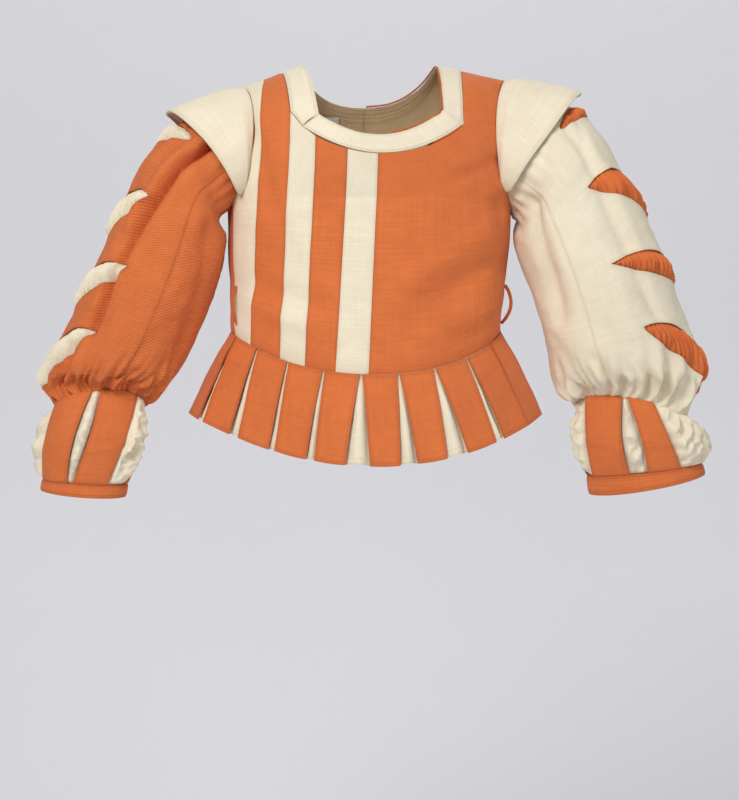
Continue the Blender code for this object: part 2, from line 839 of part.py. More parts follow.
def place_underskirt(s, t, height):
    """The underskirt comes out in a soft fold behind each gap between tabs, and falls back under each tab."""
    length = s * WAIST_ROUND
    fold = math.cos(2 * math.pi * (length - TAB_SHIFT) / PITCH)
    down = mix(SKIRT_START, TAB_LENGTH - 0.004, t)
    swell = UNDERSKIRT_FOLD * (fold - 1) * down / TAB_LENGTH
    return skirt(turn_at(length), down, height - WALL - 2 * GAP + swell)


def place_tab(number):
    middle = (number + 0.5) * PITCH + TAB_SHIFT

    def place(s, t, height):
        down = mix(SKIRT_START, TAB_LENGTH, t)
        # A tab is a straight band, so it does not widen with the flare as it falls.
        grown = 1 + down * FLARE / DEPTH
        spread = ((s - 0.5) * PITCH * TAB_SHARE + TAB_LEAN[number] * down / TAB_LENGTH) / grown
        return skirt(turn_at(middle + spread), down, height)

    return place


def build_skirt():
    ring("underskirt", place_underskirt, (TABS * 4, 2), CREAM)
    for number in range(TABS):
        sheet(f"tab_{number + 1:02d}", place_tab(number), (2, 2), RUST)


def loop_points(side, bow):
    """A short rouleau loop at the side seam, its two ends against the bodice."""
    points = []
    for k in range(9):
        share = k / 8
        roll = mix(LOOP_TOP, LOOP_FOOT, share)
        angle = side * SIDE_ANGLE[side] * LOOP_TURN
        clear = WALL + LOOP_RADIUS + GAP
        points.append(on_form(angle, roll, clear + bow * math.sin(math.pi * share) ** 0.7))
    return points


def build_belt_loops():
    cord("belt_loop_left", loop_points(1, 0.009), LOOP_RADIUS, RUST)
    cord("belt_loop_right", loop_points(-1, 0.006), LOOP_RADIUS, RUST)


clear_scene()
build_left_front()
build_right_front()
build_back()
build_neck()
for wearer_side in (-1, 1):
    build_sleeve(wearer_side)
    build_cuff(wearer_side)
build_skirt()
build_belt_loops()
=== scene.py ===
"""The looks of a child's parti-coloured costume doublet, as worn: every cut piece of its cloth, with
weave, seams, stitching, gathers and creases.

Metres. +X is the wearer's left, -Y the front, +Z up. A piece is a fine grid laid on the garment's form
by a function of two surface coordinates and a height, so neighbours share their seams, and its creases
are added to the height.
"""

from math import asin, copysign, cos, degrees, dist, exp, hypot, pi, radians, sin, sqrt

import bmesh
import bpy
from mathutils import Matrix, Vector
from mathutils.noise import noise


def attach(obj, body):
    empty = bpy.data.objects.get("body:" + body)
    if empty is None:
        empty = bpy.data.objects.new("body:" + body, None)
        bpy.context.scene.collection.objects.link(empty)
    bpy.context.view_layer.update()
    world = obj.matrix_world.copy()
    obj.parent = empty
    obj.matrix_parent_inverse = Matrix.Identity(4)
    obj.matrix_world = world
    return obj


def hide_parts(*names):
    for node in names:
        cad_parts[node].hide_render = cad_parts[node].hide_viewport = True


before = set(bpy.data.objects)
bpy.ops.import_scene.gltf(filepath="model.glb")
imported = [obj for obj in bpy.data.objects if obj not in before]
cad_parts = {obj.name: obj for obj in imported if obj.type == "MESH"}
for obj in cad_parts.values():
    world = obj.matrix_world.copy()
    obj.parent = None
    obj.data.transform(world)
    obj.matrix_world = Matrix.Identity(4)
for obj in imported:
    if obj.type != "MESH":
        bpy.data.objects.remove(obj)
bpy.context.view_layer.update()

SIDE_NAMES = {1: "left", -1: "right"}

# Cloth
WALL = 0.0013
GAP = 0.0003
HALF_GAP = GAP / 2
# Places this near each other are one
SAME = 1e-6
# Share by which a grid's lines crowd towards its edges
CROWD = 0.5

# Bodice form: an oval section that rounds over to the shoulder seam above DOME_Z. The keys -1 and 1 stand
# for the wearer's right and left.
CHEST_HALF = 0.140
WAIST_TAPER = {-1: 0.003, 1: 0.010}
DEPTH = 0.088
BOXY = 0.08
DOME_Z = -0.125
SHOULDER_Z = 0.003
ROLL = 0.1057
TOP = ROLL * pi / 2
SHOULDER_SLOPE = {-1: 0.36, 1: 0.21}
WAIST_Z = -0.259
WAIST_DIP_FRONT = 0.038
WAIST_DIP_BACK = 0.012
# Roll at which the lengthwise seams are read for the dip of the waist, and where they start
WAIST_ROLL = -0.15
SEAM_FOOT = -0.16

# Seams of the bodice, as half-angles or as places across the front
SIDE_ANGLE = {-1: radians(76), 1: radians(88)}
ARMHOLE_DEPTH = {-1: radians(78), 1: radians(80)}
ARMHOLE_ROUND = {-1: 0.63, 1: 0.80}
ARMPIT_ROLL = -0.010
NECK_HALF = 0.067
BAND_HALF = {-1: 0.0875, 1: 0.090}
# Place across the front, at the waist, neck level and shoulder, of each seam of the pieced right front
CENTRE_SEAM = (-0.008, 0.003, 0.003)
STRIPE_SEAMS = (
    (-0.040, -0.026, -0.026),
    (-0.0695, -0.0573, -0.0573),
    (-0.094, -0.082, -0.0875),
    (-0.1212, -0.111, -0.104),
)
NECK_LEVEL = 0.078

# Square neckline: corner places, and the heights of the front band
CORNER_INNER = {-1: (-0.055, -0.045), 1: (0.067, -0.041)}
CORNER_OUTER = {-1: (-0.071, -0.0565), 1: (0.087, -0.055)}
BAND_LOW = (-0.083, 4.3, 0.006)
BAND_HIGH = (-0.065, 5.9, 0.003)
BACK_NECK_INNER = -0.036
BACK_NECK_OUTER = -0.057
LINING_DEPTH = 0.060
LINING_EASE = 0.0015
NECK_ROUND = 0.8
PIPING_RADIUS = 0.0009
PIPING_REACH = 0.0014
LABEL_SPAN = (-0.052, -0.026)
LABEL_Z = -0.043
LABEL_DEEP = 0.009

# Skirt
TABS = 20
TAB_LENGTH = 0.092
TAB_SHARE = 0.95
FLARE = 0.30
FLARE_SIDE = 0.13
# How far each tab's hem hangs to the wearer's left of straight, from the first tab left of the centre
# front round by the left side to the back and the right
TAB_LEAN = (0.003, 0.009, 0.020, 0.018, 0.006, -0.002, 0.003, -0.001, 0.002, 0.004)
TAB_LEAN += (-0.003, 0.001, -0.002, 0.003, 0.0, 0.002, 0.0, -0.002, -0.008, -0.012)

# Sleeves: (station, outer x, outer z, inner x, inner z, half-depth)
SLEEVE = {
    -1: (
        (0.00, -0.128, -0.018, -0.139, -0.135, 0.043),
        (0.15, -0.178, -0.048, -0.149, -0.149, 0.050),
        (0.30, -0.217, -0.088, -0.147, -0.164, 0.054),
        (0.50, -0.255, -0.163, -0.153, -0.205, 0.056),
        (0.70, -0.290, -0.238, -0.173, -0.255, 0.056),
        (0.88, -0.319, -0.302, -0.203, -0.312, 0.050),
        (1.00, -0.313, -0.329, -0.227, -0.322, 0.032),
    ),
    1: (
        (0.00, 0.136, -0.012, 0.139, -0.135, 0.043),
        (0.15, 0.190, -0.031, 0.149, -0.151, 0.052),
        (0.30, 0.229, -0.066, 0.147, -0.168, 0.057),
        (0.50, 0.275, -0.148, 0.160, -0.212, 0.060),
        (0.70, 0.305, -0.226, 0.175, -0.264, 0.060),
        (0.88, 0.333, -0.304, 0.190, -0.312, 0.054),
        (1.00, 0.320, -0.349, 0.210, -0.326, 0.034),
    ),
}
SLEEVE_FORWARD = 0.012
HEAD_BLEND = 0.18
UNDER_ANGLE = {-1: radians(112), 1: radians(124)}
CUFF_RISE = 0.015
# Slashes: (front end: station, degrees; lower end: station, degrees)
SLASHES = {
    -1: ((0.17, 60, 0.28, 0), (0.37, 64, 0.53, -4), (0.555, 72, 0.715, -4), (0.735, 60, 0.96, -2)),
    1: ((0.16, 62, 0.26, 0), (0.345, 84, 0.52, 0), (0.545, 92, 0.695, 0), (0.735, 84, 0.96, 2)),
}
SLASH_BELLY = 16
PUFF_TURNS = {-1: (-28, 88), 1: (-26, 106)}
PUFF_EASE = 0.0035
WING_SPAN = radians(138)
WING_REACH = 0.15
WING_LIFT = 0.007
WING_FLARE = 0.010
WING_WALL = 0.0022

# Cuffs: (outer x, outer z, inner x, inner z, half-depth) at the gathers and at the band
CUFF = {
    -1: ((-0.313, -0.332, -0.227, -0.325, 0.032), (-0.325, -0.404, -0.242, -0.409, 0.033)),
    1: ((0.320, -0.352, 0.210, -0.329, 0.034), (0.334, -0.393, 0.219, -0.405, 0.036)),
}
CUFF_BULGE = 0.005
CUFF_EASE = 0.0012
# Cuff straps, in degrees round the cuff: (middle and half-width at the gathers, then at the band)
STRAPS = {
    -1: ((51, 31, 38, 27), (122, 29, 97, 24), (197, 24, 179, 22), (266, 24, 248, 22), (335, 24, 317, 22)),
    1: ((89, 14, 75, 18), (132, 24, 135, 24), (200, 22, 196, 22), (270, 20, 262, 20), (333, 20, 326, 20)),
}
BAND_DEEP = 0.010
BAND_SINK = 0.0008
BAND_WALL = 0.0022

# Belt loops
LOOP_TOP = -0.088
LOOP_FOOT = -0.126
# A loop's place between the centre front and the side seam
LOOP_TURN = 0.93
# (how far it stands off, half-width, half-thickness)
LOOPS = {1: (0.0085, 0.0019, 0.0017), -1: (0.006, 0.0015, 0.0014)}


def mix(low, high, part):
    return low + (high - low) * part


def ease(part):
    part = clip(part, 0.0, 1.0)
    return part * part * (3 - 2 * part)


def bell(away, wide):
    """1 at 0, falling off to both sides over a width."""
    return exp(-((away / wide) ** 2))


def swell(share):
    """0 at both ends of 0 to 1, and 1 halfway."""
    return sin(pi * share)


def clip(value, low, high):
    return min(max(value, low), high)


def through(stations, at):
    """The row of values at a station, on a smooth curve through the given stations."""
    at = clip(at, stations[0][0], stations[-1][0])
    k = 0
    while k < len(stations) - 2 and at > stations[k + 1][0]:
        k += 1

    def slope(i, column):
        low, high = stations[max(i - 1, 0)], stations[min(i + 1, len(stations) - 1)]
        return (high[column] - low[column]) / (high[0] - low[0])

    start, end = stations[k], stations[k + 1]
    span = end[0] - start[0]
    f = (at - start[0]) / span
    row = []
    for column in range(1, len(start)):
        rise = (2 * f**3 - 3 * f**2 + 1) * start[column] + (3 * f**2 - 2 * f**3) * end[column]
        lean = (f**3 - 2 * f**2 + f) * slope(k, column) + (f**3 - f**2) * slope(k + 1, column)
        row.append(rise + span * lean)
    return row


# ---- the bodice form


def half_width(side, roll):
    below = max(-roll, roll - 2 * TOP, 0.0)
    return CHEST_HALF - WAIST_TAPER[side] * ease((below - 0.03) / 0.10)


def side_of(x):
    return 1 if x > 0 else -1


def ridge(x):
    return SHOULDER_Z - SHOULDER_SLOPE[side_of(x)] * max(abs(x) - NECK_HALF, 0.0)


def form(angle, roll):
    """Point of the form. `angle` is 0 at the centre and 90 degrees at the side. `roll` runs up the front,
    over the shoulder at TOP, and down the back; below the dome it is a plain distance."""
    x = half_width(side_of(angle), roll) * sin(angle + BOXY * sin(2 * angle))
    turn = clip(roll / ROLL, 0.0, pi)
    z = DOME_Z + (ridge(x) - DOME_Z) * sin(turn)
    z += min(roll, 0.0) + min(2 * TOP - roll, 0.0)
    return Vector((x, -DEPTH * cos(angle) * cos(turn), z))


def raised(surface, u, v, height, inside=None):
    """A point `height` out of a surface, along its own normal."""
    step = 1e-4
    point = surface(u, v)
    along_u = surface(u + step, v) - surface(u - step, v)
    along_v = surface(u, v + step) - surface(u, v - step)
    normal = along_u.cross(along_v).normalized()
    if inside is not None and normal.dot(point - inside) < 0:
        normal.negate()
    return point + normal * height


def on_form(angle, roll, height):
    return raised(form, angle, roll, height)


def angle_at(x, roll):
    full = asin(clip(x / half_width(side_of(x), roll), -1.0, 1.0))
    angle = full
    for _ in range(8):
        angle = full - BOXY * sin(2 * angle)
    return angle


def on_front(x, roll, height):
    return on_form(angle_at(x, roll), roll, height)


def roll_at(x, z):
    """Roll of a height on the front, above or below the start of the dome."""
    if z < DOME_Z:
        return z - DOME_Z
    return ROLL * asin(min((z - DOME_Z) / (ridge(x) - DOME_Z), 1.0))


def climb(low, high, t):
    """Roll of a row from the waist up: a quarter of the rows on the wall, the rest on the dome."""
    if t < 0.25:
        return mix(low, 0.0, t * 4)
    return mix(0.0, high, (t * 4 - 1) / 3)


def waist_roll(angle, dip=WAIST_DIP_FRONT):
    return WAIST_Z - dip * cos(angle) ** 2 - DOME_Z


def armhole_angle(side, roll):
    """Half-angle at which the armhole crosses a roll, on the front; the back mirrors it."""
    share = clip((roll - ARMPIT_ROLL) / (TOP - ARMPIT_ROLL), 0.0, 1.0)
    inset = ARMHOLE_DEPTH[side] * sqrt(share) * (1 - ARMHOLE_ROUND[side] * share)
    return pi / 2 - inset


def seam_x(seam, roll):
    """A lengthwise seam's place across the front: straight to neck level, then to the shoulder."""
    if roll < NECK_LEVEL:
        return mix(seam[0], seam[1], (roll - SEAM_FOOT) / (NECK_LEVEL - SEAM_FOOT))
    return mix(seam[1], seam[2], (roll - NECK_LEVEL) / (TOP - NECK_LEVEL))


def band_edge(curve, x):
    low, bend, middle = curve
    return low + bend * (x - middle) ** 2


def strip(left, right, top):
    """place() of a bodice panel between two seams, given as half-angles, from the waist to `top`."""

    def place(s, t, height):
        foot = mix(left(WAIST_ROLL), right(WAIST_ROLL), s)
        roll = climb(waist_roll(foot) + HALF_GAP, top(s) - HALF_GAP, t)
        trim = HALF_GAP / CHEST_HALF
        return on_form(mix(left(roll) + trim, right(roll) - trim, s), roll, height)

    return place


def seam_line(seam):
    return lambda roll: angle_at(seam_x(seam, roll), roll)


def side_line(side):
    return lambda roll: side * min(SIDE_ANGLE[side], armhole_angle(side, roll))


LEG_COLUMN = 5 / 8
YOKE_ROW = 8 / 12


def leg_x(side, roll):
    """Outer edge of the neckband's leg, from the band's corner up to the shoulder seam."""
    corner = CORNER_OUTER[side]
    start = roll_at(*corner)
    if side > 0:
        return mix(corner[0], BAND_HALF[1], ease((roll - start) / (TOP - start)))
    if roll < NECK_LEVEL:
        return mix(corner[0], STRIPE_SEAMS[2][1], (roll - start) / (NECK_LEVEL - start))
    return seam_x(STRIPE_SEAMS[2], roll)


def place_left_front(s, t, height):
    trim = HALF_GAP / CHEST_HALF
    centre = seam_line(CENTRE_SEAM)
    side = side_line(1)
    corner_roll = roll_at(*CORNER_OUTER[1])

    def leg(roll):
        return angle_at(leg_x(1, roll), roll)

    def across(roll):
        if s <= LEG_COLUMN:
            return mix(centre(roll) + trim, leg(roll) + trim * (t > YOKE_ROW - SAME), s / LEG_COLUMN)
        return mix(leg(roll) + trim, side(roll) - trim, (s - LEG_COLUMN) / (1 - LEG_COLUMN))

    low = waist_roll(across(WAIST_ROLL)) + HALF_GAP
    yoke = corner_roll
    if s <= LEG_COLUMN:
        x = mix(CENTRE_SEAM[1], CORNER_OUTER[1][0], s / LEG_COLUMN)
        yoke = roll_at(x, band_edge(BAND_LOW, x)) - HALF_GAP
    if t <= YOKE_ROW:
        roll = climb(low, yoke, t / YOKE_ROW)
    else:
        roll = mix(yoke, TOP - HALF_GAP, (t - YOKE_ROW) / (1 - YOKE_ROW))
    return on_form(across(roll), roll, height)


def back_neck(half, low, turn):
    """(x, roll) on a back neck edge; turn is 0 at the centre back, 90 degrees at the shoulder seam."""
    deep = TOP - roll_at(0.0, low)
    return half * abs(sin(turn)) ** NECK_ROUND, TOP + deep * abs(cos(turn)) ** NECK_ROUND


def place_back(side):
    """A back half: s runs from the centre back to the side and armhole, t from waist to shoulder."""
    trim = HALF_GAP / CHEST_HALF
    neck_share = 6 / 9

    def place(s, t, height):
        if s <= neck_share:
            x, neck = back_neck(BAND_HALF[side], BACK_NECK_OUTER, pi / 2 * s / neck_share)
            top_angle = angle_at(x + HALF_GAP, TOP)
            top = neck + HALF_GAP
        else:
            start = angle_at(BAND_HALF[side] + HALF_GAP, TOP)
            top_angle = mix(start, armhole_angle(side, TOP) - trim, (s - neck_share) / (1 - neck_share))
            top = TOP + HALF_GAP
        low_angle = mix(trim, pi - SIDE_ANGLE[side] - trim, s)
        low = 2 * TOP - waist_roll(low_angle, WAIST_DIP_BACK) - HALF_GAP
        roll = 2 * TOP - climb(2 * TOP - low, 2 * TOP - top, t)
        # The armhole pulls the outer columns in above the armpit.
        edge = pi - SIDE_ANGLE[side]
        if 2 * TOP - roll > ARMPIT_ROLL:
            edge = min(edge, armhole_angle(side, 2 * TOP - roll))
        straight = mix(trim, edge - trim, s)
        angle = mix(straight, top_angle, ease((t - 0.55) / 0.45))
        angle = min(angle, edge - trim)
        return on_form(side * angle, roll, height)

    return place


def place_band_front(s, t, height):
    low_x = mix(CORNER_OUTER[-1][0], CORNER_OUTER[1][0], s)
    high_x = mix(CORNER_INNER[-1][0], CORNER_INNER[1][0], s)
    share = mix(0.03, 1.0, t)
    x = mix(low_x, high_x, share) + HALF_GAP * (1 - 2 * s)
    z = mix(band_edge(BAND_LOW, low_x), band_edge(BAND_HIGH, high_x), share)
    roll = roll_at(x, z)
    return on_front(x, roll, height)


BAND_TURN = 3 / 9


def band_leg(side, s, t):
    """(x, roll) on a leg of the neckband: s from inner to outer edge, t from mitre to centre back."""
    if t <= BAND_TURN:
        share = t / BAND_TURN
        inner = roll_at(*CORNER_INNER[side])
        outer = roll_at(*CORNER_OUTER[side])
        roll = mix(mix(inner, outer, s) + 2 * HALF_GAP, TOP, share)
        edge = mix(CORNER_INNER[side][0], side * NECK_HALF, share)
        x = mix(edge, leg_x(side, roll) - side * HALF_GAP, s)
    else:
        turn = pi / 2 * (1 - (t - BAND_TURN) / (1 - BAND_TURN))
        inner_x, inner_roll = back_neck(NECK_HALF, BACK_NECK_INNER, turn)
        outer_x, outer_roll = back_neck(BAND_HALF[side] - HALF_GAP, BACK_NECK_OUTER, turn)
        x = side * mix(inner_x, outer_x, s)
        roll = mix(inner_roll, outer_roll, s)
    return x, roll


def place_band_leg(side):
    def place(s, t, height):
        x, roll = band_leg(side, 0.985 * s, 0.997 * t)
        return on_front(x, roll, height)

    return place


def place_lining(side):
    """The tan lining that shows inside the back of the neck, from the neck edge down the inner face."""

    def place(s, t, height):
        turn = pi / 2 * mix(0.99, 0.01, s)
        x, neck = back_neck(NECK_HALF, BACK_NECK_INNER, turn)
        roll = neck + LINING_DEPTH * t
        wide = mix(1.0, 1.25, t)
        return on_form(side * angle_at(x * wide, roll), roll, height)

    return place


def place_label(s, t, height):
    x = mix(*LABEL_SPAN, s)
    roll = 2 * TOP - roll_at(x, LABEL_Z) + LABEL_DEEP * t
    return on_front(x, roll, height)


def piping_points():
    """Along the neck edge from near the centre front, over the left shoulder, to the centre back."""
    points = []
    for k in range(5):
        x = mix(0.016, CORNER_INNER[1][0] - PIPING_REACH, k / 4)
        roll = roll_at(x, band_edge(BAND_HIGH, x)) + PIPING_REACH
        points.append(on_front(x, roll, WALL / 2))
    for k in range(1, 10):
        x, roll = band_leg(1, 0.0, k / 9 * 0.99)
        if k / 9 > BAND_TURN:
            roll -= PIPING_REACH
        points.append(on_front(x - PIPING_REACH, roll, WALL / 2))
    return points


def armhole(side, turn):
    """The armhole's edge at a turn: 0 over the shoulder, 90 degrees in front, 180 at the armpit."""
    share = (1 + cos(turn)) / 2
    roll = mix(ARMPIT_ROLL, TOP, share)
    angle = side * armhole_angle(side, roll)
    front = sin(turn) >= 0
    return form(angle, roll if front else 2 * TOP - roll)


def sleeve_core(side, turn, station):
    outer_x, outer_z, inner_x, inner_z, deep = through(SLEEVE[side], station)
    forward = SLEEVE_FORWARD * ease(station / 0.3)
    outer = Vector((outer_x, 0.0, outer_z))
    inner = Vector((inner_x, -2 * forward, inner_z))
    middle = (outer + inner) / 2
    across = (outer - inner) / 2
    ahead = Vector((0.0, -1.0, 0.0))
    ahead -= across * (ahead.dot(across) / across.length_squared)
    point = middle + across * cos(turn) + ahead.normalized() * deep * sin(turn)
    # Towards the wrist the gathers sit higher in front than behind.
    point.z += CUFF_RISE * ease((station - 0.75) / 0.25) * sin(turn)
    return middle, point


def sleeve(side, turn, station, height):
    def surface(u, v):
        point = sleeve_core(side, u, v)[1]
        pull = 1 - ease(v / HEAD_BLEND)
        if pull > 0:
            point += (armhole(side, u) - sleeve_core(side, u, 0.0)[1]) * pull
        return point

    inside = sleeve_core(side, turn, max(station, 0.06))[0]
    return raised(surface, turn, max(station, 0.002), height, inside)


def bowed(start, bow, end, s):
    return (1 - s) ** 2 * start + 2 * s * (1 - s) * bow + s**2 * end


def slash_edges(slash, s):
    """(station, turn) on the lower and on the upper edge of a slash, both bowed from end to end."""
    front_at, front_turn, low_at, low_turn = slash
    middle_turn = (front_turn + low_turn) / 2
    middle_at = (front_at + low_at) / 2
    lower_turn = bowed(front_turn, middle_turn + SLASH_BELLY, low_turn, s)
    upper_turn = bowed(front_turn, middle_turn - SLASH_BELLY, low_turn, s)
    lower_at = bowed(front_at, middle_at, low_at, s)
    upper_at = bowed(front_at, front_at - 0.08 * (low_at - front_at), low_at, s)
    return (lower_at, radians(lower_turn)), (upper_at, radians(upper_turn))


def cuff_core(side, turn, down):
    top, bottom = CUFF[side]
    outer_x, outer_z, inner_x, inner_z, deep = (mix(a, b, down) for a, b in zip(top, bottom))
    outer = Vector((outer_x, -SLEEVE_FORWARD, outer_z))
    inner = Vector((inner_x, -SLEEVE_FORWARD, inner_z))
    middle = (outer + inner) / 2
    across = (outer - inner) / 2
    bulge = CUFF_BULGE * swell(clip(down, 0.0, 1.0))
    spread = 1 + bulge / across.length
    point = middle + across * cos(turn) * spread
    point += Vector((0.0, -1.0, 0.0)) * (deep + bulge) * sin(turn)
    point.z += CUFF_RISE * (1 - down) * sin(turn)
    return middle, point


def cuff(side, turn, down, height):
    inside = cuff_core(side, turn, down)[0]
    return raised(lambda u, v: cuff_core(side, u, v)[1], turn, down, height, inside)


def waist(around):
    """Point of the waist seam: `around` is 0 at the centre front and 180 degrees at the centre back."""
    if cos(around) >= 0:
        return form(around, waist_roll(around))
    angle = copysign(pi - abs(around), around)
    return form(angle, 2 * TOP - waist_roll(angle, WAIST_DIP_BACK))


def skirt(around, down, height):
    """Point of the skirt, `down` from the waist seam."""
    around = (around + pi) % (2 * pi) - pi
    out = Vector((sin(around) / CHEST_HALF, -cos(around) / DEPTH, 0.0)).normalized()
    lean = asin(FLARE + FLARE_SIDE * sin(around) ** 2)
    fall = out * sin(lean) - Vector((0.0, 0.0, cos(lean)))
    normal = out * cos(lean) + Vector((0.0, 0.0, sin(lean)))
    return waist(around) + fall * down + normal * height


def arc_table():
    """Turn round the waist for each even step of its length, as the section is an oval."""
    steps = 720
    lengths = [0.0]
    for k in range(steps):
        a = skirt(2 * pi * k / steps, 0.0, 0.0)
        b = skirt(2 * pi * (k + 1) / steps, 0.0, 0.0)
        lengths.append(lengths[-1] + (b - a).length)
    return lengths


WAIST_LENGTHS = arc_table()
WAIST_ROUND = WAIST_LENGTHS[-1]


def turn_at(length):
    length %= WAIST_ROUND
    low = 0
    high = len(WAIST_LENGTHS) - 1
    while high - low > 1:
        middle = (low + high) // 2
        if WAIST_LENGTHS[middle] > length:
            high = middle
        else:
            low = middle
    share = (length - WAIST_LENGTHS[low]) / (WAIST_LENGTHS[high] - WAIST_LENGTHS[low])
    return 2 * pi * (low + share) / (len(WAIST_LENGTHS) - 1)


PITCH = WAIST_ROUND / TABS
SKIRT_START = 0.0016
TAB_SHIFT = -0.016


def place_tab(number):
    middle = (number + 0.5) * PITCH + TAB_SHIFT

    def place(s, t, height):
        down = mix(SKIRT_START, TAB_LENGTH, t)
        # A tab is a straight band, so it does not widen with the flare as it falls.
        grown = 1 + down * FLARE / DEPTH
        spread = ((s - 0.5) * PITCH * TAB_SHARE + TAB_LEAN[number] * down / TAB_LENGTH) / grown
        return skirt(turn_at(middle + spread), down, height)

    return place


# ---- the cloths' materials

# (colour, colour of its shaded and soiled threads) of each cloth, by its slot
DYES = {
    "rust_cotton": ((0.73, 0.185, 0.050), (0.46, 0.095, 0.022)),
    "cream_cotton": ((0.87, 0.785, 0.61), (0.66, 0.56, 0.38)),
    "tan_lining": ((0.60, 0.47, 0.27), (0.40, 0.30, 0.15)),
    "white_tape": ((0.82, 0.82, 0.80), (0.68, 0.68, 0.66)),
}
THREAD = 0.0009
SLUB_WIDE = THREAD * 0.8
SLUB_LONG = 0.030
RIB = 0.0021
STITCH = 0.0030
STITCH_WIDE = 0.00045


class Wire:
    """One value in a material's nodes. A sum on it adds the Math node that works it out."""

    def __init__(self, look, socket):
        self.look = look
        self.socket = socket

    def sum(self, operation, first, second):
        return self.look.add("Math", {0: first, 1: second}, operation=operation)

    def __add__(self, other):
        return self.sum("ADD", self, other)

    __radd__ = __add__

    def __sub__(self, other):
        return self.sum("SUBTRACT", self, other)

    def __rsub__(self, other):
        return self.sum("SUBTRACT", other, self)

    def __mul__(self, other):
        return self.sum("MULTIPLY", self, other)

    __rmul__ = __mul__

    def __abs__(self):
        return self.look.add("Math", {0: self}, operation="ABSOLUTE")


class Look:
    """A material. add() makes a node from its kind, what its sockets get, and its settings."""

    def __init__(self, name, roughness):
        self.material = bpy.data.materials.new(name)
        self.material.use_nodes = True
        self.nodes = self.material.node_tree.nodes
        self.shader = self.nodes["Principled BSDF"]
        self.shader.inputs["Roughness"].default_value = roughness

    def add(self, kind, sockets=None, out=0, **settings):
        node = self.nodes.new("ShaderNode" + kind)
        for key, value in settings.items():
            setattr(node, key, value)
        for key, value in (sockets or {}).items():
            self.feed(node.inputs[key], value)
        return Wire(self, node.outputs[out])

    def feed(self, socket, value):
        if isinstance(value, Wire):
            self.material.node_tree.links.new(value.socket, socket)
        else:
            socket.default_value = value

    def wave(self, along, pitch):
        """A sine that repeats every `pitch` metres along a coordinate."""
        return self.add("Math", {0: along * (2 * pi / pitch)}, operation="SINE")

    def band(self, value, start, end):
        """1 where the value is below start, falling smoothly to 0 at end."""
        sockets = {"Value": value, "From Min": start, "From Max": end, "To Min": 1.0, "To Max": 0.0}
        return self.add("MapRange", sockets, interpolation_type="SMOOTHSTEP")

    def cloud(self, place, size, detail=2.0):
        """Soft noise around 0, with features of about `size` metres."""
        return self.add("TexNoise", {"Vector": place, "Scale": 1 / size, "Detail": detail}) - 0.5

    def slub(self, u, v, wide, long):
        """Threads of uneven thickness that run along v."""
        return self.cloud(self.add("CombineXYZ", {0: u * (1 / wide), 1: v * (1 / long)}), 1.0)

    def mix(self, share, low, high):
        sockets = {0: share}
        for key, colour in ((6, low), (7, high)):
            sockets[key] = colour if isinstance(colour, Wire) else (*colour, 1.0)
        return self.add("Mix", sockets, 2, data_type="RGBA")


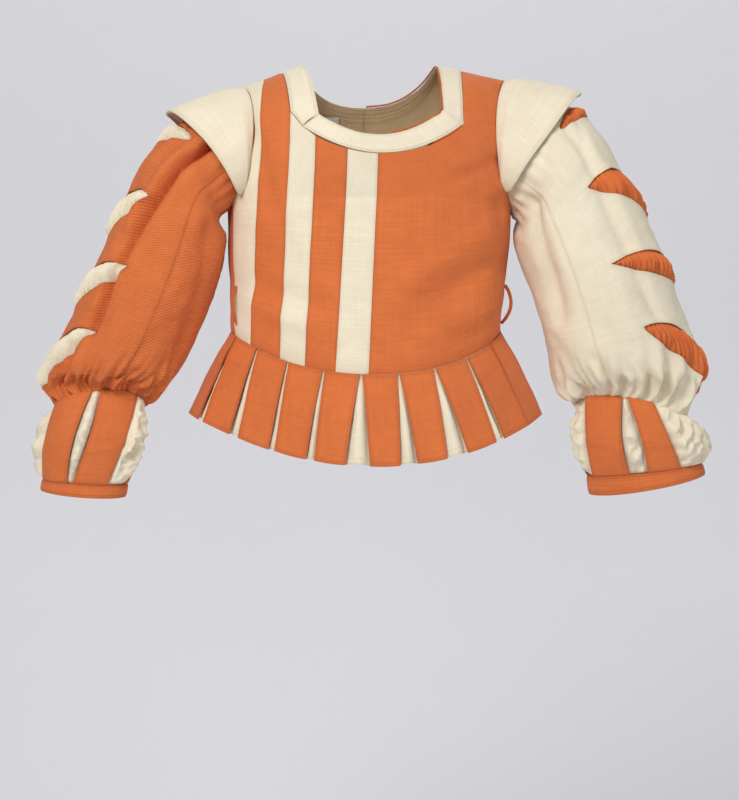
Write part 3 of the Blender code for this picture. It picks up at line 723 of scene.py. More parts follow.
def cotton(name, colour, shade, rib=0.0, rib_slant=0.0, side_stitch=(), end_stitch=()):
    """A woven cotton on the piece's own map in metres: threads and slubs, an optional slanting rib with
    painted shade in its hollows, painted shade that darkens the edges and a band along the seams, and
    stitching at given distances from the sides and from the ends, with painted shade in its furrows."""
    look = Look(name, 0.86)
    u = look.add("SeparateXYZ", {0: look.add("UVMap", uv_map="weave")})
    v = Wire(look, u.socket.node.outputs[1])
    body = look.add("TexCoord", out=3)
    side_gap = look.add("Attribute", out=2, attribute_name="side_gap")
    end_gap = look.add("Attribute", out=2, attribute_name="end_gap")
    warp = look.slub(u, v, SLUB_WIDE, SLUB_LONG)
    weft = look.slub(v, u, SLUB_WIDE, SLUB_LONG)
    broad = look.slub(v, u, THREAD * 3, 0.10)
    grain = look.wave(u, THREAD) * look.wave(v, THREAD)
    fade = look.cloud(body, 0.055, 3.0)
    soil = look.cloud(body, 0.016, 4.0)
    edge = look.add("Math", {0: side_gap, 1: end_gap}, operation="MINIMUM")
    # The last millimetre by each edge: a little smoother, and darkened towards the shade colour as
    # painted shade in the seam line.
    edge_wear_and_painted_shade = look.band(edge, 0.0002, 0.0011)
    # A band a few millimetres beside each edge, darkened in the tone below: painted shade where the seam
    # draws the cloth in.
    seam = look.band(edge, 0.0008, 0.0040) - edge_wear_and_painted_shade
    tone = 0.22 + 0.62 * warp + 0.62 * weft + 0.30 * broad + 0.55 * fade + 0.35 * soil + 0.22 * seam
    height = grain * 0.35 + warp * 0.8 + weft * 0.8
    if rib:
        slanted = u * sin(rib_slant) + v * cos(rib_slant)
        ribs = look.wave(slanted + 0.0006 * fade, RIB)
        height = height + ribs * rib
        # The rib's hollows are darkened in the colour too: painted shade of the rib.
        tone = tone - ribs * 0.16 * rib
    face = look.mix(look.add("Clamp", {"Value": tone}), colour, shade)
    pale = tuple(min(1.0, part * 1.12 + 0.02) for part in colour)
    # Painted shade: the colour darkens at the very edges.
    face = look.mix(edge_wear_and_painted_shade * 0.50, face, shade)
    for gap, along, rows in ((side_gap, v, side_stitch), (end_gap, u, end_stitch)):
        for row in rows:
            line = look.band(abs(gap - row), STITCH_WIDE * 0.4, STITCH_WIDE)
            thread = line * look.band(look.wave(along, STITCH), -0.1, 0.35)
            furrow_and_painted_shade = look.band(abs(gap - row), 0.0003, 0.0012)
            # Painted shade: the colour darkens in the furrow beside the stitching.
            face = look.mix(furrow_and_painted_shade * 0.30, face, shade)
            face = look.mix(thread * 0.75, face, pale)
            height = height - furrow_and_painted_shade * 2.2 + thread * 2.0
    look.feed(look.shader.inputs["Base Color"], face)
    look.feed(look.shader.inputs["Roughness"], 0.84 + 0.10 * soil - 0.05 * edge_wear_and_painted_shade)
    bump = look.add("Bump", {"Strength": 0.55, "Distance": 0.00035, "Height": height})
    look.feed(look.shader.inputs["Normal"], bump)
    look.shader.inputs["Sheen Weight"].default_value = 0.06
    look.shader.inputs["Sheen Roughness"].default_value = 0.55
    look.shader.inputs["Specular IOR Level"].default_value = 0.22
    return look.material


def dyed(slot, name, *ways):
    """(material, slot) of a cloth. Ways: rib, its slant, rows of stitching by the sides and the ends."""
    return cotton(name, *DYES[slot], *ways), slot


TAB_EDGES = (0.0022,), (0.0030,)
LINING_ROWS = (0.0045, 0.0090, 0.0135)
RUST_PLAIN = dyed("rust_cotton", "rust plain weave")
RUST_SLEEVE = dyed("rust_cotton", "rust ribbed sleeve cloth", 1.0, radians(24))
RUST_TAB = dyed("rust_cotton", "rust tab, edge stitched", 0.25, 0.1, *TAB_EDGES)
RUST_RIB_TAB = dyed("rust_cotton", "rust tab, ribbed", 1.0, pi / 2, *TAB_EDGES)
RUST_STRAP = dyed("rust_cotton", "rust strap, edge stitched", 0.2, 0.2, (0.0018,))
RUST_BAND = dyed("rust_cotton", "rust cuff band", 0.5, 0.0, (), (0.0020,))
RUST_PUFF = dyed("rust_cotton", "rust puff cloth")
RUST_CORD = dyed("rust_cotton", "rust rouleau cloth", 0.8, 0.7)
CREAM_PLAIN = dyed("cream_cotton", "cream plain weave")
CREAM_BAND = dyed("cream_cotton", "cream neckband, stitched", 0.0, 0.0, (0.0016,))
CREAM_FRONT_BAND = dyed("cream_cotton", "cream front band", 0.0, 0.0, (), (0.0016,))
CREAM_WING = dyed("cream_cotton", "cream wing, hemmed", 0.0, 0.0, (), (0.0030,))
CREAM_SLEEVE = dyed("cream_cotton", "cream sleeve cloth", 0.15, 0.3)
CREAM_HEM = dyed("cream_cotton", "cream underskirt, hemmed", 0.0, 0.0, (), (0.0050,))
LINING = dyed("tan_lining", "tan lining, quilted", 0.0, 0.0, (), LINING_ROWS)
TAPE = dyed("white_tape", "white woven tape", 0.6, 0.0, (0.0008,))


# ---- making a cloth piece

# How deep a seam draws the cloth in, and how far from it
SEAM_DIP = 0.0007
SEAM_REACH = 0.0016
SHARP = radians(62)


def crowd(share):
    """Draws a grid's lines closer together towards the edges of the piece."""
    return mix(share, (1 - cos(pi * share)) / 2, CROWD)


def to_line(line, x, y):
    """(distance, point) of the nearest place on a line through points of the flat cloth."""
    best = (1.0, (x, y))
    for (ax, ay), (bx, by) in zip(line, line[1:]):
        along = (bx - ax) ** 2 + (by - ay) ** 2
        share = clip(((x - ax) * (bx - ax) + (y - ay) * (by - ay)) / max(along, 1e-12), 0.0, 1.0)
        near = (mix(ax, bx, share), mix(ay, by, share))
        away = hypot(x - near[0], y - near[1])
        if away < best[0]:
            best = (away, near)
    return best


def within(outline, x, y):
    inside = False
    for (ax, ay), (bx, by) in zip(outline, outline[1:]):
        if (ay > y) != (by > y) and x < ax + (bx - ax) * (y - ay) / (by - ay):
            inside = not inside
    return inside


def drop_faces(bm, unwanted, context="FACES"):
    gone = [face for face in bm.faces if unwanted(face)]
    bmesh.ops.delete(bm, geom=gone, context=context)


def cut_slashes(bm, slashes, flat):
    """Cuts the slashes as holes, and draws the points on their edges onto the outlines."""
    for outline in slashes:

        def in_slash(face, outline=outline):
            middle = face.calc_center_median()
            return within(outline, middle.x * flat[0], middle.y * flat[1])

        drop_faces(bm, in_slash)
    rim = {vert for edge in bm.edges if edge.is_boundary for vert in edge.verts}
    for vert in rim if slashes else ():
        s, t = vert.co.x, vert.co.y
        if min(s, 1 - s, t, 1 - t) >= 1e-5:
            near = min(to_line(outline, s * flat[0], t * flat[1]) for outline in slashes)[1]
            vert.co.x, vert.co.y = near[0] / flat[0], near[1] / flat[1]


def sew(
    node,
    place,
    flat,
    cells,
    finish,
    relief=None,
    *,
    tube=False,
    crowded=True,
    keep=None,
    slashes=(),
    wall=WALL,
    held="stretched",
    sewn=(True, True),
):
    """Makes the piece that stands for a CAD node. place(s, t, height) lays it, flat is its cut size in
    metres, and relief(s, t, point) is the height of its creases. A tube closes on itself, keep(s, t) says
    which cells stay, and sewn says if seams draw in its sides and its ends."""
    bm = bmesh.new()
    bmesh.ops.create_grid(bm, x_segments=cells[0], y_segments=cells[1], size=0.5)
    bmesh.ops.translate(bm, verts=bm.verts[:], vec=(0.5, 0.5, 0.0))
    if keep:
        drop_faces(bm, lambda face: not keep(*face.calc_center_median().xy))
    if crowded:
        for vert in bm.verts:
            vert.co.x = vert.co.x if tube else crowd(vert.co.x)
            vert.co.y = crowd(vert.co.y)
    cut_slashes(bm, slashes, flat)
    weave = bm.loops.layers.uv.new("weave")
    side_gap = bm.verts.layers.float.new("side_gap")
    end_gap = bm.verts.layers.float.new("end_gap")
    for face in bm.faces:
        for loop in face.loops:
            loop[weave].uv = (loop.vert.co.x * flat[0], loop.vert.co.y * flat[1])
    grown = bmesh.ops.extrude_face_region(bm, geom=bm.faces[:])["geom"]
    if tube:

        def on_side(face):
            across = [vert.co.x for vert in face.verts]
            return max(across) - min(across) < SAME

        drop_faces(bm, on_side, "FACES_ONLY")
    outer = {item for item in grown if isinstance(item, bmesh.types.BMVert)}
    spots = {}
    for vert in bm.verts:
        s, t = vert.co.x, vert.co.y
        if (s, t) not in spots:
            base = place(s, t, 0.0)
            out = (place(s, t, 0.001) - base).normalized()
            side = 1.0 if tube else min(s, 1 - s) * flat[0]
            end = min(t, 1 - t) * flat[1]
            height = relief(s, t, base) if relief else 0.0
            for gap, joined in ((side, sewn[0]), (end, sewn[1])):
                if joined:
                    height -= SEAM_DIP * bell(gap, SEAM_REACH)
            for outline in slashes:
                side = min(side, to_line(outline, s * flat[0], t * flat[1])[0])
            spots[(s, t)] = (base + out * height, out, side, end)
        point, out, vert[side_gap], vert[end_gap] = spots[(s, t)]
        vert.co = point + out * (wall if vert in outer else 0.0)
    if tube:
        bmesh.ops.remove_doubles(bm, verts=bm.verts[:], dist=SAME)
    return finish_piece(bm, node, finish, flat, held)


def cut_of(place, fuller=1.0):
    """(width, length) of a piece over its middle lines. Gathered cloth is cut fuller than it lies."""
    lines = ([place(k / 24, 0.5, 0.0) for k in range(25)], [place(0.5, k / 24, 0.0) for k in range(25)])
    wide, long = (sum((b - a).length for a, b in zip(line, line[1:])) for line in lines)
    return wide * fuller, long


def add_mesh(bm, name):
    mesh = bpy.data.meshes.new(name)
    bm.to_mesh(mesh)
    bm.free()
    mesh.shade_smooth()
    piece = bpy.data.objects.new(mesh.name, mesh)
    bpy.context.scene.collection.objects.link(piece)
    return piece


def finish_piece(bm, node, finish, flat=None, held=None):
    if bm.calc_volume(signed=True) < 0:
        bmesh.ops.reverse_faces(bm, faces=bm.faces[:])
    piece = add_mesh(bm, f"{node}_cloth")
    piece.data.set_sharp_from_angle(angle=SHARP)
    piece.data.materials.append(finish[0])
    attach(piece, "root")
    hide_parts(node)
    return piece


ROULEAU_FLAT = (0.009, 0.05)


def rouleau(node, points, wide, thick):
    """A thin sewn tube along points, oval in section, closed at both ends."""
    bm = bmesh.new()
    bmesh.ops.create_grid(bm, x_segments=10, y_segments=(len(points) - 1) * 4, size=0.5)
    weave = bm.loops.layers.uv.new("weave")
    for face in bm.faces:
        for loop in face.loops:
            s, t = loop.vert.co.x + 0.5, loop.vert.co.y + 0.5
            loop[weave].uv = (s * ROULEAU_FLAT[0], t * ROULEAU_FLAT[1])
    stations = [(k, *point) for k, point in enumerate(points)]
    for vert in bm.verts:
        at = (vert.co.y + 0.5) * (len(points) - 1)
        middle = Vector(through(stations, at))
        ahead = Vector(through(stations, at + 0.1)) - Vector(through(stations, at - 0.1))
        upright = abs(ahead.z) >= 0.7 * ahead.length
        beside = ahead.cross(Vector((1.0, 0.0, 0.0) if upright else (0.0, 0.0, 1.0)))
        beside.normalize()
        over = beside.cross(ahead).normalized()
        turn = 2 * pi * (vert.co.x + 0.5)
        vert.co = middle + beside * cos(turn) * wide + over * sin(turn) * thick
    bmesh.ops.remove_doubles(bm, verts=bm.verts[:], dist=SAME)
    open_ends = [edge for edge in bm.edges if edge.is_boundary]
    bmesh.ops.holes_fill(bm, edges=open_ends, sides=0)
    return finish_piece(bm, node, RUST_CORD)


# ---- creases of the bodice

# Soft ridges and troughs of the worn cloth: (from x, z, to x, z, half-width, height)
FRONT_CREASES = (
    (0.010, -0.216, 0.128, -0.150, 0.011, 0.0022),
    (0.026, -0.238, 0.130, -0.184, 0.008, -0.0022),
    (0.050, -0.262, 0.126, -0.226, 0.009, 0.0020),
    (0.018, -0.268, 0.100, -0.205, 0.006, -0.0012),
    (0.070, -0.112, 0.130, -0.086, 0.008, -0.0016),
    (0.084, -0.140, 0.132, -0.112, 0.008, 0.0015),
    (0.120, -0.120, 0.133, -0.210, 0.006, -0.0014),
    (0.020, -0.105, 0.060, -0.160, 0.012, 0.0009),
    (0.000, -0.280, 0.070, -0.276, 0.006, 0.0010),
    (-0.128, -0.206, -0.030, -0.238, 0.009, -0.0014),
    (-0.126, -0.228, -0.040, -0.262, 0.008, 0.0014),
    (-0.118, -0.052, -0.100, -0.135, 0.007, -0.0016),
    (-0.100, -0.090, -0.060, -0.200, 0.012, 0.0010),
    (-0.040, -0.120, -0.115, -0.160, 0.009, 0.0008),
    (-0.050, -0.285, -0.020, -0.262, 0.005, -0.0009),
)
BACK_CREASES = (
    (0.010, -0.225, 0.120, -0.190, 0.010, -0.0020),
    (0.020, -0.205, 0.125, -0.165, 0.010, 0.0018),
    (-0.012, -0.232, -0.120, -0.196, 0.010, -0.0018),
    (-0.020, -0.210, -0.125, -0.172, 0.010, 0.0018),
    (0.030, -0.060, 0.110, -0.105, 0.010, 0.0014),
    (-0.030, -0.060, -0.108, -0.100, 0.010, 0.0012),
    (0.000, -0.090, 0.050, -0.170, 0.012, 0.0010),
    (-0.020, -0.120, -0.070, -0.180, 0.012, -0.0010),
)


def crease(x, y, ax, ay, bx, by, wide, height):
    """Height of a soft ridge along a line, which fades out at both its ends."""
    long = (bx - ax) ** 2 + (by - ay) ** 2
    share = ((x - ax) * (bx - ax) + (y - ay) * (by - ay)) / long
    if not -0.15 < share < 1.15:
        return 0.0
    away = ((x - ax) * (by - ay) - (y - ay) * (bx - ax)) / sqrt(long)
    fade = ease((share + 0.15) / 0.4) * ease((1.15 - share) / 0.4)
    return height * fade * bell(away, wide)


CREASE_GAIN = 1.9
PUCKER = 0.0006
PUCKER_REACH = 0.010


def body_relief(s, t, point):
    soft = 0.0015 * noise(point * 22) + 0.0006 * noise(point * 60)
    for line in FRONT_CREASES if point.y < 0 else BACK_CREASES:
        soft += CREASE_GAIN * crease(point.x, point.z, *line)
    # Small puckers where the waist seam draws the cloth.
    dip = WAIST_DIP_FRONT * (1 - (point.x / CHEST_HALF) ** 2) * (point.y < 0)
    waist_gap = abs(point.z - WAIST_Z + dip)
    fine = noise(Vector((point.x * 160, point.y * 160, 1.0)))
    return soft + PUCKER * exp(-waist_gap / PUCKER_REACH) * fine


CENTRE_GAP = 0.00015


def to_centre(place, side):
    """Draws a back piece's inner edge up to the centre back, where it meets its neighbour."""
    inner = 0.0 if abs(place(0.0, 0.5, 0.0).x) < abs(place(1.0, 0.5, 0.0).x) else 1.0

    def moved(s, t, height):
        point = place(s, t, height)
        point.x += (side * CENTRE_GAP - place(inner, t, height).x) * max(0.0, 1 - abs(s - inner) * 12)
        return point

    return moved


def under_band(outer, inner):
    """Roll of a panel's top edge, from its outer to its inner side, under the front neckband."""

    def top(s):
        x = mix(outer, inner, s)
        return roll_at(x, band_edge(BAND_LOW, x))

    return top


def beside_corner(s):
    """Roll of the outer cream stripe's top edge, which runs over the neckband's corner."""
    corner = CORNER_OUTER[-1]
    if s < 0.5:
        return mix(NECK_LEVEL, roll_at(*corner), s * 2)
    inner = STRIPE_SEAMS[1][1]
    share = s * 2 - 1
    return roll_at(mix(corner[0], inner, share), mix(corner[1], band_edge(BAND_LOW, inner), share))


def sew_bodice():
    edges = [seam_line(seam) for seam in (CENTRE_SEAM, *STRIPE_SEAMS)] + [side_line(-1)]
    inner_top = under_band(STRIPE_SEAMS[0][1], CENTRE_SEAM[1])
    rust_top = under_band(STRIPE_SEAMS[1][1], STRIPE_SEAMS[0][1])
    strips = (
        ("stripe_cream_inner", CREAM_PLAIN, (0.034, 0.215), inner_top),
        ("stripe_rust_inner", RUST_PLAIN, (0.034, 0.215), rust_top),
        ("stripe_cream_outer", CREAM_PLAIN, (0.030, 0.225), beside_corner),
        ("stripe_rust_outer", RUST_PLAIN, (0.034, 0.295), lambda s: TOP),
        ("side_front_right", CREAM_PLAIN, (0.030, 0.255), lambda s: TOP),
    )
    for k, (node, finish, flat, top) in enumerate(strips):
        sew(node, strip(edges[k + 1], edges[k], top), flat, (20, 96), finish, body_relief)

    def below_neck(s, t):
        return s > LEG_COLUMN or t < YOKE_ROW

    front = (0.152, 0.290), (80, 108), RUST_PLAIN, body_relief
    sew("front_left", place_left_front, *front, crowded=False, keep=below_neck)
    back = (0.155, 0.280), (80, 90), RUST_PLAIN, body_relief
    for side, name in SIDE_NAMES.items():
        sew(f"back_{name}", to_centre(place_back(side), side), *back)


# ---- neck


def neck_relief(s, t, point):
    return 0.0004 + 0.0006 * noise(point * 45) + 0.0003 * noise(point * 160)


def lining_relief(s, t, point):
    rows = sum(bell(t * LINING_DEPTH - row, 0.0011) for row in LINING_ROWS)
    return 0.0004 * noise(point * 90) - 0.0006 * rows


def mitred(leg, side):
    """Lays a leg of the neckband right up to the front band's mitre, and to the centre back."""

    def place(s, t, height):
        point = leg(s, mix(-0.003, 1.0, t), height)
        point.x += (side * CENTRE_GAP - leg(s, 1.0, height).x) * max(0.0, 1 - (1 - t) * 20)
        return point

    return place


LABEL_WALL = 0.0010


def sew_neck():
    front = (0.150, 0.022), (130, 14), CREAM_FRONT_BAND, neck_relief
    sew("neckband_front", place_band_front, *front, sewn=(False, True))
    leg = (0.021, 0.250), (14, 130), CREAM_BAND, neck_relief
    back = (0.100, LINING_DEPTH), (70, 60), LINING, lining_relief
    for side, name in SIDE_NAMES.items():
        sew(f"neckband_{name}", mitred(place_band_leg(side), side), *leg, sewn=(True, False))

        def under(s, t, height, lining=to_centre(place_lining(side), side)):
            return lining(s, t, height - WALL - LINING_EASE)

        sew(f"back_lining_{name}", under, *back, sewn=(False, False))

    def label(s, t, height):
        return place_label(s, t, height - 2 * WALL - 2 * LINING_EASE)

    sew("neck_label", label, (0.027, 0.011), (24, 10), TAPE, sewn=(False, False), wall=LABEL_WALL)
    rouleau("neck_edge_piping", piping_points(), PIPING_RADIUS, PIPING_RADIUS)


# ---- sleeves

SLEEVE_START = 0.004
SLEEVE_ROUND = 0.053
SLEEVE_LONG = 0.31
# Shares of a sleeve's length: the under panel's cut, where the gathers turn in, and where the puffs run
UNDER_LONG = 0.72
JOIN = 0.955
PUFF_SPAN = (0.10, 0.97)
# Folds of each sleeve: (points as degrees of turn and station), half-width, height
SLEEVE_FOLDS = {
    -1: (
        (((80, 0.08), (77, 0.20), (74, 0.32), (63, 0.45), (58, 0.60), (60, 0.74)), 0.0044, -0.0135),
        (((67, 0.10), (64, 0.24), (61, 0.36), (50, 0.47)), 0.0065, 0.0052),
        (((92, 0.12), (90, 0.25), (86, 0.40), (76, 0.55)), 0.0080, 0.0022),
        (((40, 0.08), (36, 0.20), (22, 0.32)), 0.0050, -0.0035),
        (((30, 0.34), (44, 0.44), (50, 0.52)), 0.0050, -0.0020),
        (((84, 0.62), (96, 0.74), (112, 0.86)), 0.0070, -0.0018),
        (((70, 0.60), (82, 0.70), (92, 0.80)), 0.0070, 0.0016),
        (((40, 0.76), (52, 0.83), (66, 0.92)), 0.0040, -0.0050),
        (((58, 0.76), (66, 0.86), (74, 0.97)), 0.0045, 0.0040),
        (((120, 0.84), (104, 0.93), (92, 0.98)), 0.0050, -0.0045),
        (((140, 0.30), (150, 0.55), (160, 0.80)), 0.0100, -0.0040),
        (((-60, 0.20), (-70, 0.45), (-84, 0.70)), 0.0080, -0.0050),
        (((-40, 0.30), (-46, 0.55)), 0.0080, 0.0030),
    ),
    1: (
        (((56, 0.14), (66, 0.28), (74, 0.44), (70, 0.60), (64, 0.73)), 0.0055, -0.0036),
        (((46, 0.16), (54, 0.30), (62, 0.46), (60, 0.60)), 0.0070, 0.0020),
        (((88, 0.16), (92, 0.36), (92, 0.56), (88, 0.76)), 0.0085, 0.0020),
        (((30, 0.10), (44, 0.20), (58, 0.27)), 0.0050, -0.0028),
        (((136, 0.14), (142, 0.30), (146, 0.50), (150, 0.66)), 0.0085, -0.0075),
        (((124, 0.52), (112, 0.66), (104, 0.80)), 0.0070, -0.0016),
        (((130, 0.78), (122, 0.88), (114, 0.97)), 0.0048, -0.0045),
        (((96, 0.84), (100, 0.92), (104, 0.98)), 0.0050, -0.0030),
        (((66, 0.80), (68, 0.90), (66, 0.98)), 0.0045, -0.0050),
        (((78, 0.78), (82, 0.90)), 0.0060, 0.0032),
        (((44, 0.86), (52, 0.93), (58, 0.99)), 0.0050, -0.0036),
        (((-60, 0.20), (-72, 0.45), (-86, 0.70)), 0.0080, -0.0050),
        (((-40, 0.30), (-46, 0.55)), 0.0080, 0.0030),
    ),
}
GATHERED = {-1: 1.12, 1: 1.28}
PUFF_PITCH = {-1: 0.0070, 1: 0.0056}
PUFF_RISE = {-1: 0.0092, 1: 0.0085}
PUFF_SETTLE = 0.0030
PUFF_EDGE = 0.014
LEAF_STEPS = 14
CUT_ROLL = 0.0016
WING_ROOT = 0.0005
WING_SHORTEST = 0.042
GATHER = 0.0048
# Where the gathers end: a share down the cuff, and how deep under its straps
TUCK = (0.015, 0.0022)


def sleeve_relief(side, turn, station):
    """Height of a sleeve's folds, of the gathers above its cuff, and of a little unevenness."""
    x = turn * SLEEVE_ROUND
    y = station * SLEEVE_LONG
    height = 0.0
    for points, wide, rise in SLEEVE_FOLDS[side]:
        line = [(radians(at) * SLEEVE_ROUND, where * SLEEVE_LONG) for at, where in points]
        away = to_line(line, x, y)[0]
        if away < 3 * wide:
            first, last = points[0][1], points[-1][1]
            span = ease((station - first + 0.05) / 0.10) * ease((last + 0.06 - station) / 0.10)
            height += rise * max(span, 0.15) * bell(away, wide)
    gather = ease((station - 0.70) / 0.28) ** 1.4
    wander = 1.5 * noise(Vector((turn * 1.6, station * 2.6, side)))
    ripple = sin(17 * turn + 5 * wander) + 0.6 * sin(29 * turn - 7 * wander) - 0.6
    height += GATHER * gather * ripple
    head = 1 - ease(station / 0.25)
    height += 0.0014 * head * sin(26 * turn + 2 * wander)
    # Softer hollows that run down and across the sleeve, as full cloth hangs.
    place = Vector((x * 26 + y * 9, y * 13, side * 5.0))
    height += 0.0042 * noise(place) + 0.0013 * noise(place * 2.7)
    height += 0.0005 * noise(Vector((x * 120, y * 120, side)))
    # Under the wing the sleeve's head lies close.
    return min(height, 0.0015 + 0.02 * ease((station - 0.05) / 0.25)) * ease(station / 0.08)


def slash_outlines(side, first, last, start, end, flat):
    """Each slash as a closed line in the flat metres of a piece that spans those turns and stations."""
    outlines = []
    for slash in SLASHES[side]:
        lower, upper = [], []
        for k in range(LEAF_STEPS + 1):
            for edge, line in zip(slash_edges(slash, k / LEAF_STEPS), (lower, upper)):
                x = (edge[1] - first) / (last - first) * flat[0]
                line.append((x, (edge[0] - start) / (end - start) * flat[1]))
        outlines.append(lower + upper[::-1])
    return outlines


def lay_panel(side, first, last):
    """place() of a sleeve panel between two turns."""

    def place(s, t, height):
        turn = mix(first, last, s)
        station = mix(SLEEVE_START, 1.0, t)
        point = sleeve(side, turn, station, height)
        # The gathers turn in and end against the top of the cuff.
        if station > JOIN:
            inside = cuff(side, turn, TUCK[0], height - TUCK[1])
            point = point.lerp(inside, ease((station - JOIN) / (1 - JOIN)))
        return point

    return place


def fold_panel(side, first, last, outlines, flat):
    """relief() of a sleeve panel: its folds, and cut edges that roll out a little."""

    def relief(s, t, point):
        station = mix(SLEEVE_START, 1.0, t)
        height = sleeve_relief(side, mix(first, last, s), station)
        height *= 1 - ease((station - JOIN) / (1 - JOIN))
        for outline in outlines:
            height += CUT_ROLL * bell(to_line(outline, s * flat[0], t * flat[1])[0], 0.0035)
        return height

    return relief


def sew_sleeve(side):
    name = SIDE_NAMES[side]
    finish, puff_finish = (CREAM_SLEEVE, RUST_PUFF) if side > 0 else (RUST_SLEEVE, CREAM_PLAIN)
    wide = UNDER_ANGLE[side]
    upper_flat = (2 * wide * SLEEVE_ROUND * GATHERED[side], SLEEVE_LONG)
    under_flat = (2 * (pi - wide) * SLEEVE_ROUND, SLEEVE_LONG * UNDER_LONG)
    cuts = slash_outlines(side, -wide, wide, SLEEVE_START, 1.0, upper_flat)
    panels = (
        ("upper", -wide, wide, upper_flat, (100, 128), cuts),
        ("under", wide, 2 * pi - wide, under_flat, (52, 100), ()),
    )
    for panel, first, last, flat, cells, slashes in panels:
        relief = fold_panel(side, first, last, slashes, flat)
        way = lay_panel(side, first, last), flat, cells, finish, relief
        sew(f"sleeve_{panel}_{name}", *way, slashes=slashes, held="gathered")

    low, high = (radians(at) for at in PUFF_TURNS[side])
    puff_flat = ((high - low) * SLEEVE_ROUND * 1.6, 0.87 * SLEEVE_LONG)
    leaves = slash_outlines(side, low, high, *PUFF_SPAN, puff_flat)

    def place_puff(s, t, height):
        return sleeve(side, mix(low, high, s), mix(*PUFF_SPAN, t), height - WALL - PUFF_EASE)

    def puff_relief(s, t, point):
        x, y = s * puff_flat[0], t * puff_flat[1]
        height = sleeve_relief(side, mix(low, high, s), mix(*PUFF_SPAN, t))
        open_share = 0.0
        for leaf in leaves:
            deep = to_line(leaf, x, y)[0]
            if within(leaf, x, y):
                open_share = ease(0.25 + deep / 0.004)
                height += PUFF_SETTLE + PUFF_RISE[side] * (1 - exp(-deep / 0.0060))
            elif deep < PUFF_EDGE:
                height += PUFF_SETTLE * ease(1 - deep / PUFF_EDGE)
        drift = 0.9 * noise(Vector((x * 40, y * 16, side)))
        pleat = sin(2 * pi * x / PUFF_PITCH[side] + 6 * drift)
        return height + open_share * (0.0019 * pleat + 0.0024 * noise(Vector((x * 70, y * 45, 4))))

    puff = puff_flat, (110, 130), puff_finish, puff_relief
    sew(f"slash_puffs_{name}", place_puff, *puff, held="gathered")

    def place_wing(s, t, height):
        turn = mix(-WING_SPAN, WING_SPAN, s)
        share = abs(turn) / WING_SPAN
        reach = WING_SHORTEST + WING_REACH * (1 - share) ** 0.55
        station = WING_ROOT + (reach - WING_ROOT) * t
        # The wing starts in the armhole's seam and then stands off the sleeve.
        lift = mix(0.0017, WING_LIFT, ease(t * 3)) + WING_FLARE * (1 - ease(share * 2)) * t**2
        return sleeve(side, turn, station, height + lift)

    def wing_relief(s, t, point):
        wave = 0.0010 * sin(9 * s * pi + side) * t**2
        return wave + 0.0014 * noise(point * 26) + 0.0004 * noise(point * 90)

    wing = (0.240, 0.066), (120, 30), CREAM_WING, wing_relief
    sew(f"wing_{name}", place_wing, *wing, wall=WING_WALL, held="hung")


# ---- cuffs

BAND_CUT = 0.012
STRAP_CELLS = (24, 40)
# Degrees past a strap's edge at which the puff stands out fully
CUFF_FREE = 8
# A cuff's pieces stop just short of its band
CUFF_END = 0.995
# How much the puffs squeeze a strap halfway down
STRAP_PINCH = 0.15
# Height of the open puffs, of their lobes, and a lobe's size
PUFF_LIFT = 0.0070
PUFF_LOBE = 0.0068
LOBE_SIZE = 0.013


def crumple(point, size):
    """A pinched crumple: sharp valleys between rounded lobes."""
    place = point / size
    return 1 - 2.2 * abs(noise(place)) - 0.9 * abs(noise(place * 2.1 + Vector((3.0, 1.0, 2.0))))


def sew_cuff(side):
    name = SIDE_NAMES[side]
    top, bottom = CUFF[side]
    long = dist(top[:2], bottom[:2])

    def half_of(top_half, foot_half, down):
        return mix(top_half, foot_half, down) * (1 - STRAP_PINCH * swell(down))

    def off_strap(turn, down):
        """0 under a strap, rising to 1 in the open between two."""
        nearest = 90.0
        for top_turn, top_half, foot_turn, foot_half in STRAPS[side]:
            away = abs((degrees(turn) - mix(top_turn, foot_turn, down) + 180) % 360 - 180)
            nearest = min(nearest, away - 0.94 * half_of(top_half, foot_half, down))
        return ease(nearest / CUFF_FREE)

    def place_puff(s, t, height):
        return cuff(side, 2 * pi * s, CUFF_END * t, height - WALL - CUFF_EASE)

    def puff_relief(s, t, point):
        free = off_strap(2 * pi * s, t)
        belly = swell(clip(t, 0.0, 1.0)) ** 0.5
        lobes = crumple(Vector((point.x, point.y, point.z * 0.8)), LOBE_SIZE)
        open_height = free * (PUFF_LIFT + PUFF_LOBE * lobes)
        return belly * (-0.0012 * (1 - free) + open_height) - 0.0010 * (1 - belly)

    def place_band(s, t, height):
        return cuff(side, 2 * pi * s, 1 + BAND_DEEP * t / long, height - BAND_SINK)

    def band_relief(s, t, point):
        return 0.0004 * noise(point * 80)

    puff = cut_of(place_puff), (240, 48), CREAM_PLAIN, puff_relief
    sew(f"cuff_puff_{name}", place_puff, *puff, tube=True, held="gathered")
    band = (cut_of(place_band)[0] * 1.05, BAND_CUT), (160, 8), RUST_BAND, band_relief
    sew(f"cuff_band_{name}", place_band, *band, tube=True, wall=BAND_WALL)
    for k, strap in enumerate(STRAPS[side]):

        def place_strap(s, t, height, strap=strap):
            turn = mix(strap[0], strap[2], t) + half_of(strap[1], strap[3], t) * (2 * s - 1)
            return cuff(side, radians(turn), CUFF_END * t, height)

        def strap_relief(s, t, point, k=k):
            bow = 0.0016 * swell(t)
            fold = crease(s, t, 0.0, 0.62 + 0.05 * k, 1.0, 0.55, 0.03, 0.0012)
            return bow + fold + 0.0008 * noise(point * 40) - 0.0010 * (2 * s - 1) ** 4 * (1 - t) * t

        way = cut_of(place_strap), STRAP_CELLS, RUST_STRAP, strap_relief
        sew(f"cuff_strap_{name}_{k + 1}", place_strap, *way, sewn=(False, True))


# ---- skirt

